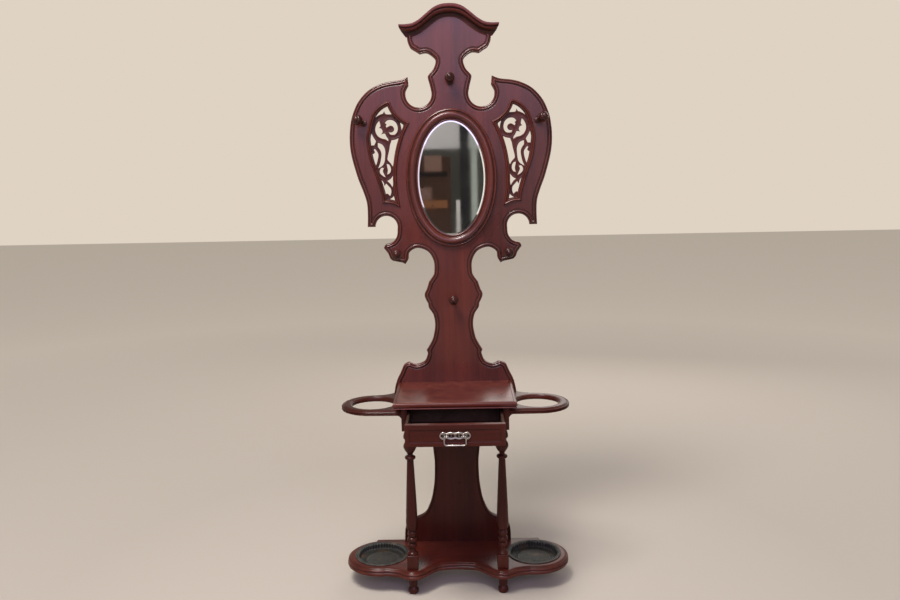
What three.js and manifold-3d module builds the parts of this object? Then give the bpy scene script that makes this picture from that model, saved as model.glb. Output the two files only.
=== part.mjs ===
// Victorian hall stand: shaped mahogany back with an oval mirror, pierced wings and hat pegs,
// a small table with a drawer, umbrella rings, a serpentine base shelf and iron drip pans.
// Millimetres, +Z up, +X to the viewer's right, the wall behind at +Y.

import * as THREE from 'three';
import { mergeVertices } from 'three/addons/utils/BufferGeometryUtils.js';
import Module from 'manifold-3d';

const wasm = await Module();
wasm.setup();

// ---------------------------------------------------------------- driving dimensions

const OVERALL_HEIGHT = 2240;
const BACK_WIDTH = 784; // across the wings
const BOARD = 22; // thickness of the back boards
const GAP = 0.3; // between pieces that touch

const TABLE_HEIGHT = 780;
const TABLE_OVERHANG = 28; // past the case at each side
const TABLE_NOSE = 43; // past the case at the front
const TABLE_TOP = 24; // thickness
const CASE_WIDTH = 400;
const CASE_DEPTH = 285;
const CASE_HEIGHT = 95; // under the table top
const CASE_SIDE = 22; // thickness
const CASE_FLOOR = 10; // thickness
const CASE_BACK = 10; // thickness

const DRAWER_OPEN = 188; // how far out the drawer stands at rest
const DRAWER_FRONT = 20; // thickness
const DRAWER_WALL = 9;
const DRAWER_FLOOR = 6; // thickness
const DRAWER_CLEARANCE = 2; // round the drawer front
const DRAWER_BACK_ROOM = 12; // behind the shut drawer
const RAIL_HEIGHT = 12; // rail over the drawer front
const RAIL_DEPTH = 30;
const RAIL_SETBACK = 2; // behind the case's front edges
const KICKER_WIDTH = 16;
const KICKER_CLEARANCE = 3; // over the drawer's sides
const DRAWER_SIDE_DROP = 8; // sides below the front's top edge
const DRAWER_BACK_DROP = 4; // back below the sides
const DRAWER_GLIDE = 0.6; // under the drawer's sides
const DRAWER_FRONT_RISE = 1; // front's lower edge over the case's underside
const DRAWER_FLOOR_RISE = 1; // floor over the sides' lower edges

const PULL_WIDTH = 110; // back plate
const PULL_HEIGHT = 27;
const PULL_PLATE = 2.4; // thickness
const PULL_POST_SPACING = 58;
const PULL_POST_LENGTH = 15;
const PULL_DROP = 30; // from the posts to the middle of the bail's grip
const PULL_ROD = 5; // diameter of the bail
const PULL_EYE = 5; // radius of a post's eye

const RING_INNER = 84; // radius
const RING_BAND = 39; // width of the wood
const RING_REACH = 117; // from the case side to the ring's centre
const RING_SETBACK = 142; // centre, in front of the back boards
const RING_THICKNESS = 19;
const RING_TOP = 735; // height of the top face
const RING_BRACKET = 22; // small hollow bracket under the front arm
const RING_BRACKET_WIDTH = 32;

const BASE_UNDERSIDE = 71;
const BASE_THICKNESS = 30;
const BASE_NOSE = 27; // in front of the leg's block
const BASE_MIDDLE_SETBACK = 88; // middle of the front edge, behind the nose
const LOBE_LAND = 35.5; // wood round a pan's hole
const LOBE_SETBACK = 111; // centre, in front of the back boards
const LOBE_INSET = 13; // nearer to the middle than the ring above
const LEG_INSET = 26; // leg axis, in from the case side
const LEG_SETBACK = 237; // leg axis, in front of the back boards
const LEG_BLOCK = 42; // square block at the foot of the leg
const LEG_BLOCK_HEIGHT = 57;
const REAR_FOOT_SETBACK = 6;
const FOOT_RADIUS = 20;

const PAN_BODY = 100; // outer radius
const PAN_LIP = 8; // rim past the body
const PAN_CLEARANCE = 2.5; // between the pan and its hole
const PAN_WALL = 3.5;
const PAN_RIM_THICKNESS = 4;
const PAN_DEPTH = 24; // below the base's top face
const PAN_TAPER = 12; // narrower at the bottom
const PAN_BEND = 9; // height of the sloped foot

const MIRROR_HALF_WIDTH = 131; // glass in sight
const MIRROR_HALF_HEIGHT = 220;
const MIRROR_FRAME = 46; // width of the frame
const MIRROR_FRAME_DEPTH = 24;
const MIRROR_CHAMFER = 10; // slope of the frame towards the back
const MIRROR_SHOULDER = 0.6; // share of the frame's depth at its rim
const MIRROR_GLASS = 4; // thickness
const MIRROR_REBATE = 8; // width hidden behind the frame
const MIRROR_REBATE_DEPTH = 9;
const MIRROR_PLAY = 0.5; // round the glass in its rebate
const MIRROR_RISE = 810; // centre over the table, as the back is drawn

const CREST_PROJECTION = 31;
const WINDOW_MOULDING = 13; // width
const WINDOW_MOULDING_DEPTH = 8;
const WINDOW_TO_MIRROR = [49, 67]; // from the mirror frame to the window, across and up
const WINDOW_TO_NOTCHES = [76, 63]; // from the upper and the lower notch to the window
const WINDOW_LIP = 10; // board left in front of the fret panel
const FRET_REBATE = 6.5; // width
const FRET_THICKNESS = 9;
const FRET_BORDER = 3; // in sight

const PEG_LENGTH = 64;
const PEG_HEAD = 17; // radius
const PEG_COLLAR = 11; // radius
const WING_PEG_INSET = 8; // the window's moulding curves away from it
const PEG_RISE_ANGLE = 14; // degrees, for the three upper pegs
const PEG_SPREAD_ANGLE = 30; // degrees, for the two on the wings
const PEG_SINK = 1.2; // how deep a tilted peg's collar is let into the board

// ---------------------------------------------------------------- derived places

const caseHalf = CASE_WIDTH / 2;
const tableUnderside = TABLE_HEIGHT - TABLE_TOP;
const caseUnderside = tableUnderside - CASE_HEIGHT;
const baseTop = BASE_UNDERSIDE + BASE_THICKNESS;
const legX = caseHalf - LEG_INSET;
const ringX = caseHalf + RING_REACH;
const lobeX = ringX - LOBE_INSET;
const ringOuter = RING_INNER + RING_BAND;
const panHole = PAN_BODY + PAN_CLEARANCE; // radius
const lobeRadius = panHole + LOBE_LAND;
const frameHalfWidth = MIRROR_HALF_WIDTH + MIRROR_FRAME;
const frameHalfHeight = MIRROR_HALF_HEIGHT + MIRROR_FRAME;

// The back is drawn 784 wide and 1460 over the table, then stretched to the wanted size.
const DRAWN_WIDTH = 784;
const DRAWN_RISE = 1460;
const across = BACK_WIDTH / DRAWN_WIDTH;
const up = (OVERALL_HEIGHT - TABLE_HEIGHT) / DRAWN_RISE;
const place = ([x, z]) => new THREE.Vector2(x * across, TABLE_HEIGHT + z * up);
const mirrorZ = place([0, MIRROR_RISE]).y;

// ---------------------------------------------------------------- curves

const DEGREE = Math.PI / 180;

/** Points of a smooth curve through the given ones, with steps between neighbours. */
function smooth(points, steps = 3) {
  const curve = new THREE.SplineCurve(points.map(([x, y]) => new THREE.Vector2(x, y)));
  return curve.getPoints((points.length - 1) * steps).map((p) => [p.x, p.y]);
}

/** Points of an arc about (x, y), angles in degrees, one for every 15 degrees or so. */
function arc(x, y, radius, from, to, stepDegrees = 15) {
  const count = Math.max(2, Math.ceil(Math.abs(to - from) / stepDegrees));
  return Array.from({ length: count + 1 }, (_, i) => {
    const angle = (from + ((to - from) * i) / count) * DEGREE;
    return [x + radius * Math.cos(angle), y + radius * Math.sin(angle)];
  });
}

/** Joins runs of points and drops the ones that repeat. */
function join(...runs) {
  const near = (a, b) => Math.hypot(a[0] - b[0], a[1] - b[1]) < 0.05;
  const points = runs.flat().filter((p, i, all) => i === 0 || !near(p, all[i - 1]));
  return near(points[0], points[points.length - 1]) ? points.slice(0, -1) : points;
}

/** An outline for +X and its mirror image, as one closed loop. */
function bothHalves(half) {
  const other = half.map(([x, y]) => [-x, y]).reverse();
  return join(half, other);
}

/** A flat region inside a closed outline. */
const region = (points) => new wasm.CrossSection([points], 'NonZero');

/** The outline of a region moved outward by a distance, with mitred corners. */
const grow = (area, distance) => area.offset(distance, 'Miter', 3).toPolygons()[0];

// ---------------------------------------------------------------- solids

const shapeOf = (points) => new THREE.Shape(points.map((p) => (p.isVector2 ? p : new THREE.Vector2(...p))));

/** An outline in X and Z as an upright board between two depths. */
function board(points, front, back) {
  const flat = new THREE.ExtrudeGeometry(shapeOf(points), { depth: back - front, bevelEnabled: false });
  return flat.rotateX(Math.PI / 2).translate(0, back, 0);
}

/** An outline in X and Y as a level board between two heights. */
function slab(points, bottom, top) {
  const flat = new THREE.ExtrudeGeometry(shapeOf(points), { depth: top - bottom, bevelEnabled: false });
  return flat.translate(0, 0, bottom);
}

/** A box given by its lowest and highest corners. */
function block([x0, y0, z0], [x1, y1, z1]) {
  const box = new THREE.BoxGeometry(x1 - x0, y1 - y0, z1 - z0);
  return box.translate((x0 + x1) / 2, (y0 + y1) / 2, (z0 + z1) / 2);
}

/** A turned piece about Z from [radius, height] pairs that start and end on the axis. */
function turned(profile, segments = 16) {
  const points = profile.map(([r, h]) => new THREE.Vector2(r, h));
  return new THREE.LatheGeometry(points, segments).rotateX(Math.PI / 2);
}

/** A solid for cutting and joining, from a closed geometry. */
function solid(geometry) {
  const plain = geometry.index ? geometry.toNonIndexed() : geometry.clone();
  plain.deleteAttribute('normal');
  plain.deleteAttribute('uv');
  const merged = mergeVertices(plain, 1e-4);
  const vertProperties = new Float32Array(merged.attributes.position.array);
  const faces = Array.from(merged.index.array);
  const kept = [];
  for (let i = 0; i < faces.length; i += 3) {
    const [a, b, c] = faces.slice(i, i + 3);
    if (a !== b && b !== c && c !== a) kept.push(a, b, c);
  }
  const triVerts = Uint32Array.from(kept);
  return new wasm.Manifold(new wasm.Mesh({ numProp: 3, vertProperties, triVerts }));
}

/** The geometry of a solid after its cuts. */
function geometryOf(body) {
  const mesh = body.getMesh();
  const geometry = new THREE.BufferGeometry();
  geometry.setAttribute('position', new THREE.BufferAttribute(new Float32Array(mesh.vertProperties), 3));
  geometry.setIndex(new THREE.BufferAttribute(new Uint32Array(mesh.triVerts), 1));
  geometry.computeVertexNormals();
  return geometry;
}

const joined = (...geometries) => geometries.map(solid).reduce((whole, part) => whole.add(part));
const cut = (body, ...tools) => tools.map(solid).reduce((left, tool) => left.subtract(tool), body);

/** The same geometry on the other side of the middle plane. */
function mirrored(geometry) {
  const copy = geometry.index ? geometry.toNonIndexed() : geometry.clone();
  copy.deleteAttribute('normal');
  copy.deleteAttribute('uv');
  const p = copy.attributes.position.array;
  for (let i = 0; i < p.length; i += 9) {
    const [a, b, c] = [0, 3, 6].map((k) => [-p[i + k], p[i + k + 1], p[i + k + 2]]);
    p.set([...a, ...c, ...b], i);
  }
  const merged = mergeVertices(copy, 1e-4);
  merged.computeVertexNormals();
  return merged;
}

// ---------------------------------------------------------------- materials and the group

const finish = (color, roughness, metalness) =>
  new THREE.MeshStandardMaterial({ color, roughness, metalness });
const mahogany = finish(0x5a2a1e, 0.35, 0);
const darkMahogany = finish(0x3c1912, 0.35, 0);
const drawerWood = finish(0x8a6a4a, 0.7, 0);
const silveredGlass = finish(0xb9c0c2, 0.05, 1);
const castIron = finish(0x2f3431, 0.6, 0.8);
const agedNickel = finish(0xa8a29a, 0.3, 1);

const hallStand = new THREE.Group();

function add(name, geometry, material = mahogany) {
  const mesh = new THREE.Mesh(geometry, material);
  mesh.name = name;
  hallStand.add(mesh);
}

/** Adds a right-hand piece and its mirror image. */
function addPair(name, geometry, material = mahogany) {
  add(`${name}_right`, geometry, material);
  add(`${name}_left`, mirrored(geometry), material);
}

// ---------------------------------------------------------------- the back

const NOTCH_HIGH = { x: 121, z: 1132, radius: 50 }; // between the neck and the wing's tip
const NOTCH_LOW = { x: 259, z: 624, radius: 44 }; // between the wing and its ear

const CREST_END = [190, 1387]; // tip of the crest's top line
const CREST_COVER = 4; // how far the crest moulding stands over the board behind it
const CREST_RETURN = 18; // how far it stands past the board at the side
const SEAM = 122; // glue line between the middle board and the side boards
const CREST_SPLIT = 1230; // between the crest's ends and the wings, in the notches
const NECK_SPLIT = 250; // between the wings and the shoulders, in the neck

const crestTop = smooth([[0, 1460], [40, 1454], [57, 1446], [97, 1415], [137, 1391], [160, 1387], CREST_END]);
const crestSide = smooth([[160, 1342], [158, 1327], [153, 1313], [146, 1302], [130, 1292], [113, 1281]], 2);
const neckHigh = smooth([[113, 1281], [85, 1284], [58, 1265], [53, 1250], [62, 1225], [80, 1204], [84, 1193],
  [76, 1161], [73, 1146]]);
const wingTip = join(smooth([[170, 1142], [165, 1152], [158, 1164]], 2), [[161, 1197]]);
const wingEdge = smooth([[161, 1197], [190, 1186], [237, 1180], [277, 1169], [317, 1147], [352, 1110],
  [373, 1070], [386, 1027], [392, 965], [387, 903], [366, 820], [346, 765], [333, 720], [331, 671],
  [333, 626]]);
const earTop = smooth([[215.7, 616], [217, 596], [223, 580], [234, 567], [249, 560], [264, 556],
  [272, 542]], 2);
const earSide = smooth([[272, 542], [262, 529], [254, 517], [248, 501], [238, 491]], 2);
const earFoot = smooth([[238, 491], [220, 487], [200, 483], [188, 477]], 2);
const armpit = smooth([[188, 477], [176, 497], [171, 523], [140, 540], [98, 525], [76, 487], [75, 442],
  [82, 425], [97, 404]]);
const lozenge = smooth([[97, 404], [106, 376], [114, 360], [115, 348], [110, 333], [102, 318]], 2);
const neckLow = smooth([[102, 318], [99, 300], [82, 272], [76, 230], [84, 182], [94, 158], [112, 128]]);
const shoulderTop = smooth([[112, 128], [108, 115], [117, 88], [131, 77], [150, 71], [166, 74], [181, 80],
  [198, 74], [207, 66]], 2);
const shoulderSide = smooth([[207, 66], [220, 36], [234, 8], [243, -23], [249, -64]], 2);

const boardTop = crestTop
  .filter(([x]) => x < CREST_END[0] - CREST_RETURN)
  .map(([x, z]) => [x, z - CREST_COVER]);

/** The whole back in X and Z, from the crest down to the case's underside. */
const backHalf = join(
  boardTop,
  [[CREST_END[0] - CREST_RETURN, CREST_END[1] - CREST_COVER]],
  crestSide,
  neckHigh,
  arc(NOTCH_HIGH.x, NOTCH_HIGH.z, NOTCH_HIGH.radius, 164, 372),
  wingTip,
  wingEdge,
  arc(NOTCH_LOW.x, NOTCH_LOW.z, NOTCH_LOW.radius, 2, 190),
  earTop,
  earSide,
  earFoot,
  armpit,
  lozenge,
  neckLow,
  shoulderTop,
  shoulderSide,
).map((p) => place(p).toArray());

const shoulderFoot = backHalf[backHalf.length - 1];
const backOutline = bothHalves([
  ...backHalf,
  [caseHalf - GAP, shoulderFoot[1]],
  [caseHalf - GAP, caseUnderside],
]);

const seamX = SEAM * across;
const crestSplit = place([0, CREST_SPLIT]).y;
const neckSplit = place([0, NECK_SPLIT]).y;
const FAR = 3000;

/** One board of the back, clipped out of the whole between two heights. */
function backBoard(inner, outer, bottom, top) {
  const clip = block([inner, -FAR, bottom], [outer, FAR, top]);
  return solid(board(backOutline, 0, BOARD)).intersect(solid(clip));
}

/** An ellipse about the mirror's centre, in X and Z. */
function mirrorOval(halfWidth, halfHeight, steps = 40) {
  return arc(0, 0, 1, 0, 360 - 360 / steps, 360 / steps)
    .map(([c, s]) => [halfWidth * c, mirrorZ + halfHeight * s]);
}

/** The fret window: a drawn outer side, cut by rounds about the mirror and the two notches. */
function windowRegion() {
  const outer = smooth([[243, 1092], [264, 1081], [282, 1064], [296, 1040], [312, 980], [313, 950],
    [303, 885], [280, 820], [260, 750], [258, 732], [258, 700]]);
  const drawn = [...outer, [0, 700], [0, 1092]];
  const notches = [[NOTCH_HIGH, WINDOW_TO_NOTCHES[0]], [NOTCH_LOW, WINDOW_TO_NOTCHES[1]]];
  const rounds = notches.map(([{ x, z, radius }, margin]) => arc(x, z, radius + margin, 0, 352, 8));
  const placed = [drawn, ...rounds].map((points) => points.map((p) => place(p).toArray()));
  const [whole, high, low] = placed.map(region);
  const halfWidth = frameHalfWidth + WINDOW_TO_MIRROR[0];
  const halfHeight = frameHalfHeight + WINDOW_TO_MIRROR[1];
  const beside = region(mirrorOval(halfWidth, halfHeight, 48));
  const pieces = whole.subtract(high).subtract(low).subtract(beside).decompose();
  return pieces.sort((a, b) => b.area() - a.area())[0];
}

const fretWindow = windowRegion();
const windowOutline = grow(fretWindow, 0);
const rebate = grow(fretWindow, FRET_REBATE + GAP);

function addBack() {
  add('back_centre_board', geometryOf(backBoard(-seamX + GAP / 2, seamX - GAP / 2, 0, FAR)));
  const side = seamX + GAP / 2;
  addPair('crest_block', geometryOf(backBoard(side, FAR, crestSplit, FAR)));
  addPair('back_shoulder', geometryOf(backBoard(side, FAR, 0, neckSplit)));
  const wing = cut(
    backBoard(side, FAR, neckSplit, crestSplit),
    board(windowOutline, -1, BOARD + 1),
    board(rebate, WINDOW_LIP, BOARD + 1),
  );
  addPair('back_wing', geometryOf(wing));
}

function addWindowMoulding() {
  const band = cut(
    solid(board(grow(fretWindow, WINDOW_MOULDING), -WINDOW_MOULDING_DEPTH, -GAP)),
    board(windowOutline, -WINDOW_MOULDING_DEPTH - 1, 1),
  );
  addPair('window_moulding', geometryOf(band));
}

// ---------------------------------------------------------------- fretwork

// Openings of the fret, drawn like the back; a corner is given twice.
const FRET_OPENINGS = [
  [[226, 1059], [226, 1059], [233, 1074], [243, 1091], [243, 1091], [258, 1084], [275, 1070],
    [289, 1054], [300, 1039], [300, 1039], [284, 1052], [268, 1060], [261, 1062], [256, 1071],
    [256, 1071], [251, 1061], [240, 1059]],
  [[183, 1018], [183, 1018], [196, 1028], [196, 1028], [192, 1012], [190, 996], [190, 996],
    [185, 1006]],
  [[254, 1027], [254, 1027], [247, 1035], [236, 1038], [222, 1035], [210, 1024], [205, 1008],
    [207, 993], [215, 983], [227, 981], [236, 984], [238, 991], [238, 991], [230, 990], [222, 995],
    [219, 1004], [224, 1013], [233, 1016], [241, 1013], [248, 1008], [248, 1008], [251, 1015],
    [248, 1020], [248, 1020]],
  [[276, 1035], [276, 1035], [285, 1025], [291, 1011], [292, 997], [287, 983], [278, 973], [265, 967],
    [253, 964], [243, 957], [243, 957], [243, 964], [250, 975], [256, 986], [269, 984], [269, 984],
    [264, 993], [268, 1004], [278, 1008], [278, 1008], [272, 1014], [273, 1024]],
  [[310, 996], [310, 996], [314, 975], [315, 950], [315, 940], [315, 940], [306, 942], [298, 942],
    [298, 942], [293, 952], [291, 958], [291, 958], [300, 972], [306, 984]],
  [[203, 968], [203, 968], [215, 963], [230, 960], [230, 960], [236, 945], [240, 925], [245, 905],
    [248, 888], [243, 880], [236, 872], [228, 859], [228, 859], [222, 885], [214, 920], [207, 950]],
  [[284, 951], [284, 951], [272, 947], [262, 938], [256, 921], [257, 899], [260, 878], [268, 864],
    [286, 853], [286, 853], [277, 874], [271, 904], [274, 921], [284, 936], [284, 936]],
  [[297, 929], [297, 929], [290, 921], [283, 905], [289, 876], [297, 856], [297, 856], [302, 868],
    [308, 890], [313, 911], [313, 911], [303, 909], [297, 914], [298, 921], [301, 924], [301, 924]],
  [[252, 869], [252, 869], [243, 867], [237, 857], [236, 845], [241, 834], [252, 830], [252, 830],
    [249, 838], [248, 848], [250, 858]],
  [[263, 853], [263, 853], [272, 855], [279, 846], [278, 834], [268, 824], [257, 818], [257, 818],
    [262, 828], [267, 840], [266, 848]],
  [[229, 824], [229, 824], [238, 812], [251, 804], [251, 804], [240, 793], [231, 779], [231, 779],
    [228, 800]],
  [[286, 819], [286, 819], [276, 796], [268, 763], [262, 742], [257, 731], [257, 731], [259, 744],
    [258, 752], [253, 755], [247, 751], [242, 745], [242, 745], [237, 758], [238, 773], [246, 783],
    [256, 794], [256, 794], [263, 785], [263, 785], [266, 798], [275, 810]],
  [[227, 746], [227, 746], [233, 739], [243, 733], [243, 733], [233, 729], [222, 724], [222, 724],
    [225, 735]],
];

function addFretPanels() {
  const front = WINDOW_LIP + GAP;
  const back = front + FRET_THICKNESS;
  const sight = fretWindow.offset(-FRET_BORDER, 'Miter', 3);
  const openings = FRET_OPENINGS.flatMap((points) => {
    const loop = smooth([...points, points[0]]).map((p) => place(p).toArray());
    return region(loop).intersect(sight).toPolygons();
  });
  const panel = solid(board(grow(fretWindow, FRET_REBATE), front, back));
  const fret = cut(panel, ...openings.map((points) => board(points, front - 1, back + 1)));
  addPair('fret_panel', geometryOf(fret), darkMahogany);
}

// ---------------------------------------------------------------- crest

/** A band that hangs from the crest's top line, its lower edge drawn by hand. */
function crestBand(lower) {
  const half = join(crestTop, lower);
  return bothHalves(half).map((p) => place(p).toArray());
}

function addCrest() {
  const fillet = [[189, 1378], [160, 1374], [137, 1378], [97, 1401], [57, 1432], [40, 1440], [0, 1446]];
  const cyma = [[181, 1364], [160, 1360], [137, 1362], [97, 1384], [57, 1414], [38, 1423], [0, 1428]];
  const shadow = [[164, 1342], [137, 1346], [115, 1354], [77, 1377], [57, 1393], [37, 1407], [0, 1415]];
  const layers = [[fillet, 1], [cyma, 0.72], [shadow, 0.35]];
  const bands = layers.map(([lower, share]) => board(crestBand(lower), -CREST_PROJECTION * share, -GAP));
  add('crest_moulding', geometryOf(joined(...bands)));
}

// ---------------------------------------------------------------- mirror

function addMirror() {
  const rebateWidth = MIRROR_HALF_WIDTH + MIRROR_REBATE;
  const rebateHeight = MIRROR_HALF_HEIGHT + MIRROR_REBATE;
  const faceOval = mirrorOval(frameHalfWidth - MIRROR_CHAMFER, frameHalfHeight - MIRROR_CHAMFER);
  const rounds = [
    board(mirrorOval(frameHalfWidth, frameHalfHeight), -MIRROR_FRAME_DEPTH * MIRROR_SHOULDER, -GAP),
    board(faceOval, -MIRROR_FRAME_DEPTH, -GAP),
  ];
  const frame = cut(
    joined(...rounds),
    board(mirrorOval(MIRROR_HALF_WIDTH, MIRROR_HALF_HEIGHT), -FAR, 1),
    board(mirrorOval(rebateWidth, rebateHeight), -MIRROR_REBATE_DEPTH, 1),
  );
  add('mirror_frame', geometryOf(frame));
  const glassOval = mirrorOval(rebateWidth - MIRROR_PLAY, rebateHeight - MIRROR_PLAY);
  const glassBack = -MIRROR_REBATE_DEPTH + GAP + MIRROR_GLASS;
  add('mirror_glass', board(glassOval, -MIRROR_REBATE_DEPTH + GAP, glassBack), silveredGlass);
  add('mirror_backing', board(glassOval, glassBack + GAP, -GAP), drawerWood);
}

// ---------------------------------------------------------------- hat pegs

// Where the pegs stand on the drawn back.
const CREST_PEG = [0, 1177];
const WING_PEG = [0, 1026]; // its height only
const EAR_PEG = [219, 520];
const NECK_PEG = [0, 336];

const PEG_PROFILE = [[0, 0], [PEG_COLLAR, 0], [PEG_COLLAR, 5], [7, 9], [6, 24], [10, 30], [PEG_HEAD, 38],
  [PEG_HEAD, 50], [PEG_HEAD - 6, 58], [0, PEG_LENGTH]];

/** A hat peg on the front of the back board; its tilts are in degrees, outward and up. */
function addPeg(name, x, z, outward, upward) {
  const peg = turned(PEG_PROFILE, 12).rotateX(Math.PI / 2);
  const side = Math.sign(x);
  peg.rotateX(-upward * DEGREE).rotateZ(side * outward * DEGREE);
  const lift = PEG_COLLAR * Math.sin(Math.max(outward, upward) * DEGREE) * PEG_SINK;
  const seat = block([-FAR, -GAP, -FAR], [FAR, FAR, FAR]);
  peg.translate(x, -lift / 2, z);
  add(name, geometryOf(cut(solid(peg), seat)), darkMahogany);
}

function addPegs() {
  addPeg('hat_peg_crest', ...place(CREST_PEG), 0, PEG_RISE_ANGLE);
  addPeg('hat_peg_neck', ...place(NECK_PEG), 0, 0);
  const windowSide = Math.max(...windowOutline.map(([x]) => x));
  const wingX = windowSide + WINDOW_MOULDING + PEG_COLLAR - WING_PEG_INSET;
  for (const [side, sign] of [['left', -1], ['right', 1]]) {
    addPeg(`hat_peg_wing_${side}`, sign * wingX, place(WING_PEG).y, PEG_SPREAD_ANGLE, PEG_RISE_ANGLE);
    const ear = place(EAR_PEG);
    addPeg(`hat_peg_ear_${side}`, sign * ear.x, ear.y, 0, 0);
  }
}

// ---------------------------------------------------------------- table and case

function addTable() {
  const half = caseHalf + TABLE_OVERHANG;
  const nose = -CASE_DEPTH - TABLE_NOSE;
  add('table_top', block([-half, nose, tableUnderside], [half, -GAP, TABLE_HEIGHT]));
  const under = tableUnderside - GAP;
  const inner = caseHalf - CASE_SIDE;
  const side = block([inner, -CASE_DEPTH, caseUnderside], [caseHalf, -GAP, under]);
  addPair('case_side', side);
  const floorFront = -CASE_DEPTH + DRAWER_FRONT + DRAWER_CLEARANCE;
  const floorTop = caseUnderside + CASE_FLOOR;
  add('case_floor', block([-inner + GAP, floorFront, caseUnderside], [inner - GAP, -GAP, floorTop]));
  add('case_back', block([-inner + GAP, -CASE_BACK, floorTop + GAP], [inner - GAP, -GAP, under]));
  const railFront = -CASE_DEPTH + RAIL_SETBACK;
  const railBack = railFront + RAIL_DEPTH;
  add('drawer_rail', block([-inner + GAP, railFront, under - RAIL_HEIGHT], [inner - GAP, railBack, under]));
  const drawerFrontTop = under - RAIL_HEIGHT - DRAWER_CLEARANCE;
  const drawerSideTop = drawerFrontTop - DRAWER_SIDE_DROP;
  const kicker = block(
    [inner - KICKER_WIDTH, railBack + GAP, drawerSideTop + KICKER_CLEARANCE],
    [inner - GAP, -CASE_BACK - GAP, under],
  );
  addPair('kicker', kicker);
  return { inner, floorTop, drawerSideTop, drawerFrontTop };
}

// ---------------------------------------------------------------- umbrella rings

function addRings() {
  const bottom = RING_TOP - RING_THICKNESS;
  const cy = -RING_SETBACK;
  const shoulderX = shoulderFoot[0];
  const backEdge = smooth([[shoulderX, BOARD], [shoulderX + 10, 6], [ringX - 32, cy + ringOuter + 9],
    [ringX, cy + ringOuter]]);
  const outline = join(
    [[caseHalf, BOARD]],
    arc(ringX, cy, ringOuter, -90, 90, 12),
    backEdge.reverse(),
    [[caseHalf, -GAP], [caseHalf, cy - ringOuter - 2]],
  ).slice(1);
  const hole = arc(ringX, cy, RING_INNER, 0, 348, 12);
  const bracketX = caseHalf + RING_BRACKET;
  const hollow = arc(bracketX, bottom - RING_BRACKET, RING_BRACKET, 90, 180, 18);
  const bracketOutline = [[caseHalf, bottom + 2], [bracketX, bottom + 2], ...hollow];
  const bracketFront = cy - ringOuter;
  const bracket = board(bracketOutline, bracketFront, bracketFront + RING_BRACKET_WIDTH);
  const ring = cut(
    joined(slab(outline, bottom, RING_TOP), bracket),
    slab(hole, bottom - 1, RING_TOP + 1),
    block([-FAR, -FAR, 0], [caseHalf + GAP, FAR, FAR]),
    block([-FAR, -GAP, 0], [shoulderX + GAP, FAR, FAR]),
  );
  addPair('umbrella_ring', geometryOf(ring));
}

// ---------------------------------------------------------------- drawer and pull

function addDrawer({ inner, floorTop, drawerSideTop, drawerFrontTop }) {
  const half = inner - DRAWER_CLEARANCE;
  const front = -CASE_DEPTH - DRAWER_OPEN;
  const bottom = caseUnderside + DRAWER_FRONT_RISE;
  add('drawer_front', block([-half, front, bottom], [half, front + DRAWER_FRONT, drawerFrontTop]));
  const boxFront = front + DRAWER_FRONT + GAP;
  const boxBack = -CASE_BACK - DRAWER_BACK_ROOM - DRAWER_OPEN;
  const sideBottom = floorTop + DRAWER_GLIDE;
  const boxFloorBottom = sideBottom + DRAWER_FLOOR_RISE;
  const wall = half - DRAWER_WALL;
  const sideWall = block([wall, boxFront, sideBottom], [half, boxBack, drawerSideTop]);
  addPair('drawer_side', sideWall, drawerWood);
  const backWall = block(
    [-wall + GAP, boxBack - DRAWER_WALL, sideBottom],
    [wall - GAP, boxBack, drawerSideTop - DRAWER_BACK_DROP],
  );
  add('drawer_back', backWall, drawerWood);
  const boxFloor = block(
    [-wall + GAP, boxFront, boxFloorBottom],
    [wall - GAP, boxBack - DRAWER_WALL - GAP, boxFloorBottom + DRAWER_FLOOR],
  );
  add('drawer_floor', boxFloor, drawerWood);
  return { front, centre: (bottom + drawerFrontTop) / 2 };
}

/** The pull's back plate in X and Z: two lobed ends and a waved middle. */
function pullPlateOutline(centre) {
  const halfWidth = PULL_WIDTH / 2;
  const halfHeight = PULL_HEIGHT / 2;
  const lobes = smooth([[halfWidth, 0], [halfWidth - 4, 0.72], [halfWidth - 15, 1], [halfWidth - 25, 0.76],
    [14, 1], [0, 0.86]].map(([x, share]) => [x, share * halfHeight]), 2);
  const upper = join(lobes, lobes.map(([x, z]) => [-x, z]).reverse());
  const lower = upper.map(([x, z]) => [x, -z]).reverse();
  return join(upper, lower).map(([x, z]) => [x, z + centre]);
}

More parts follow.
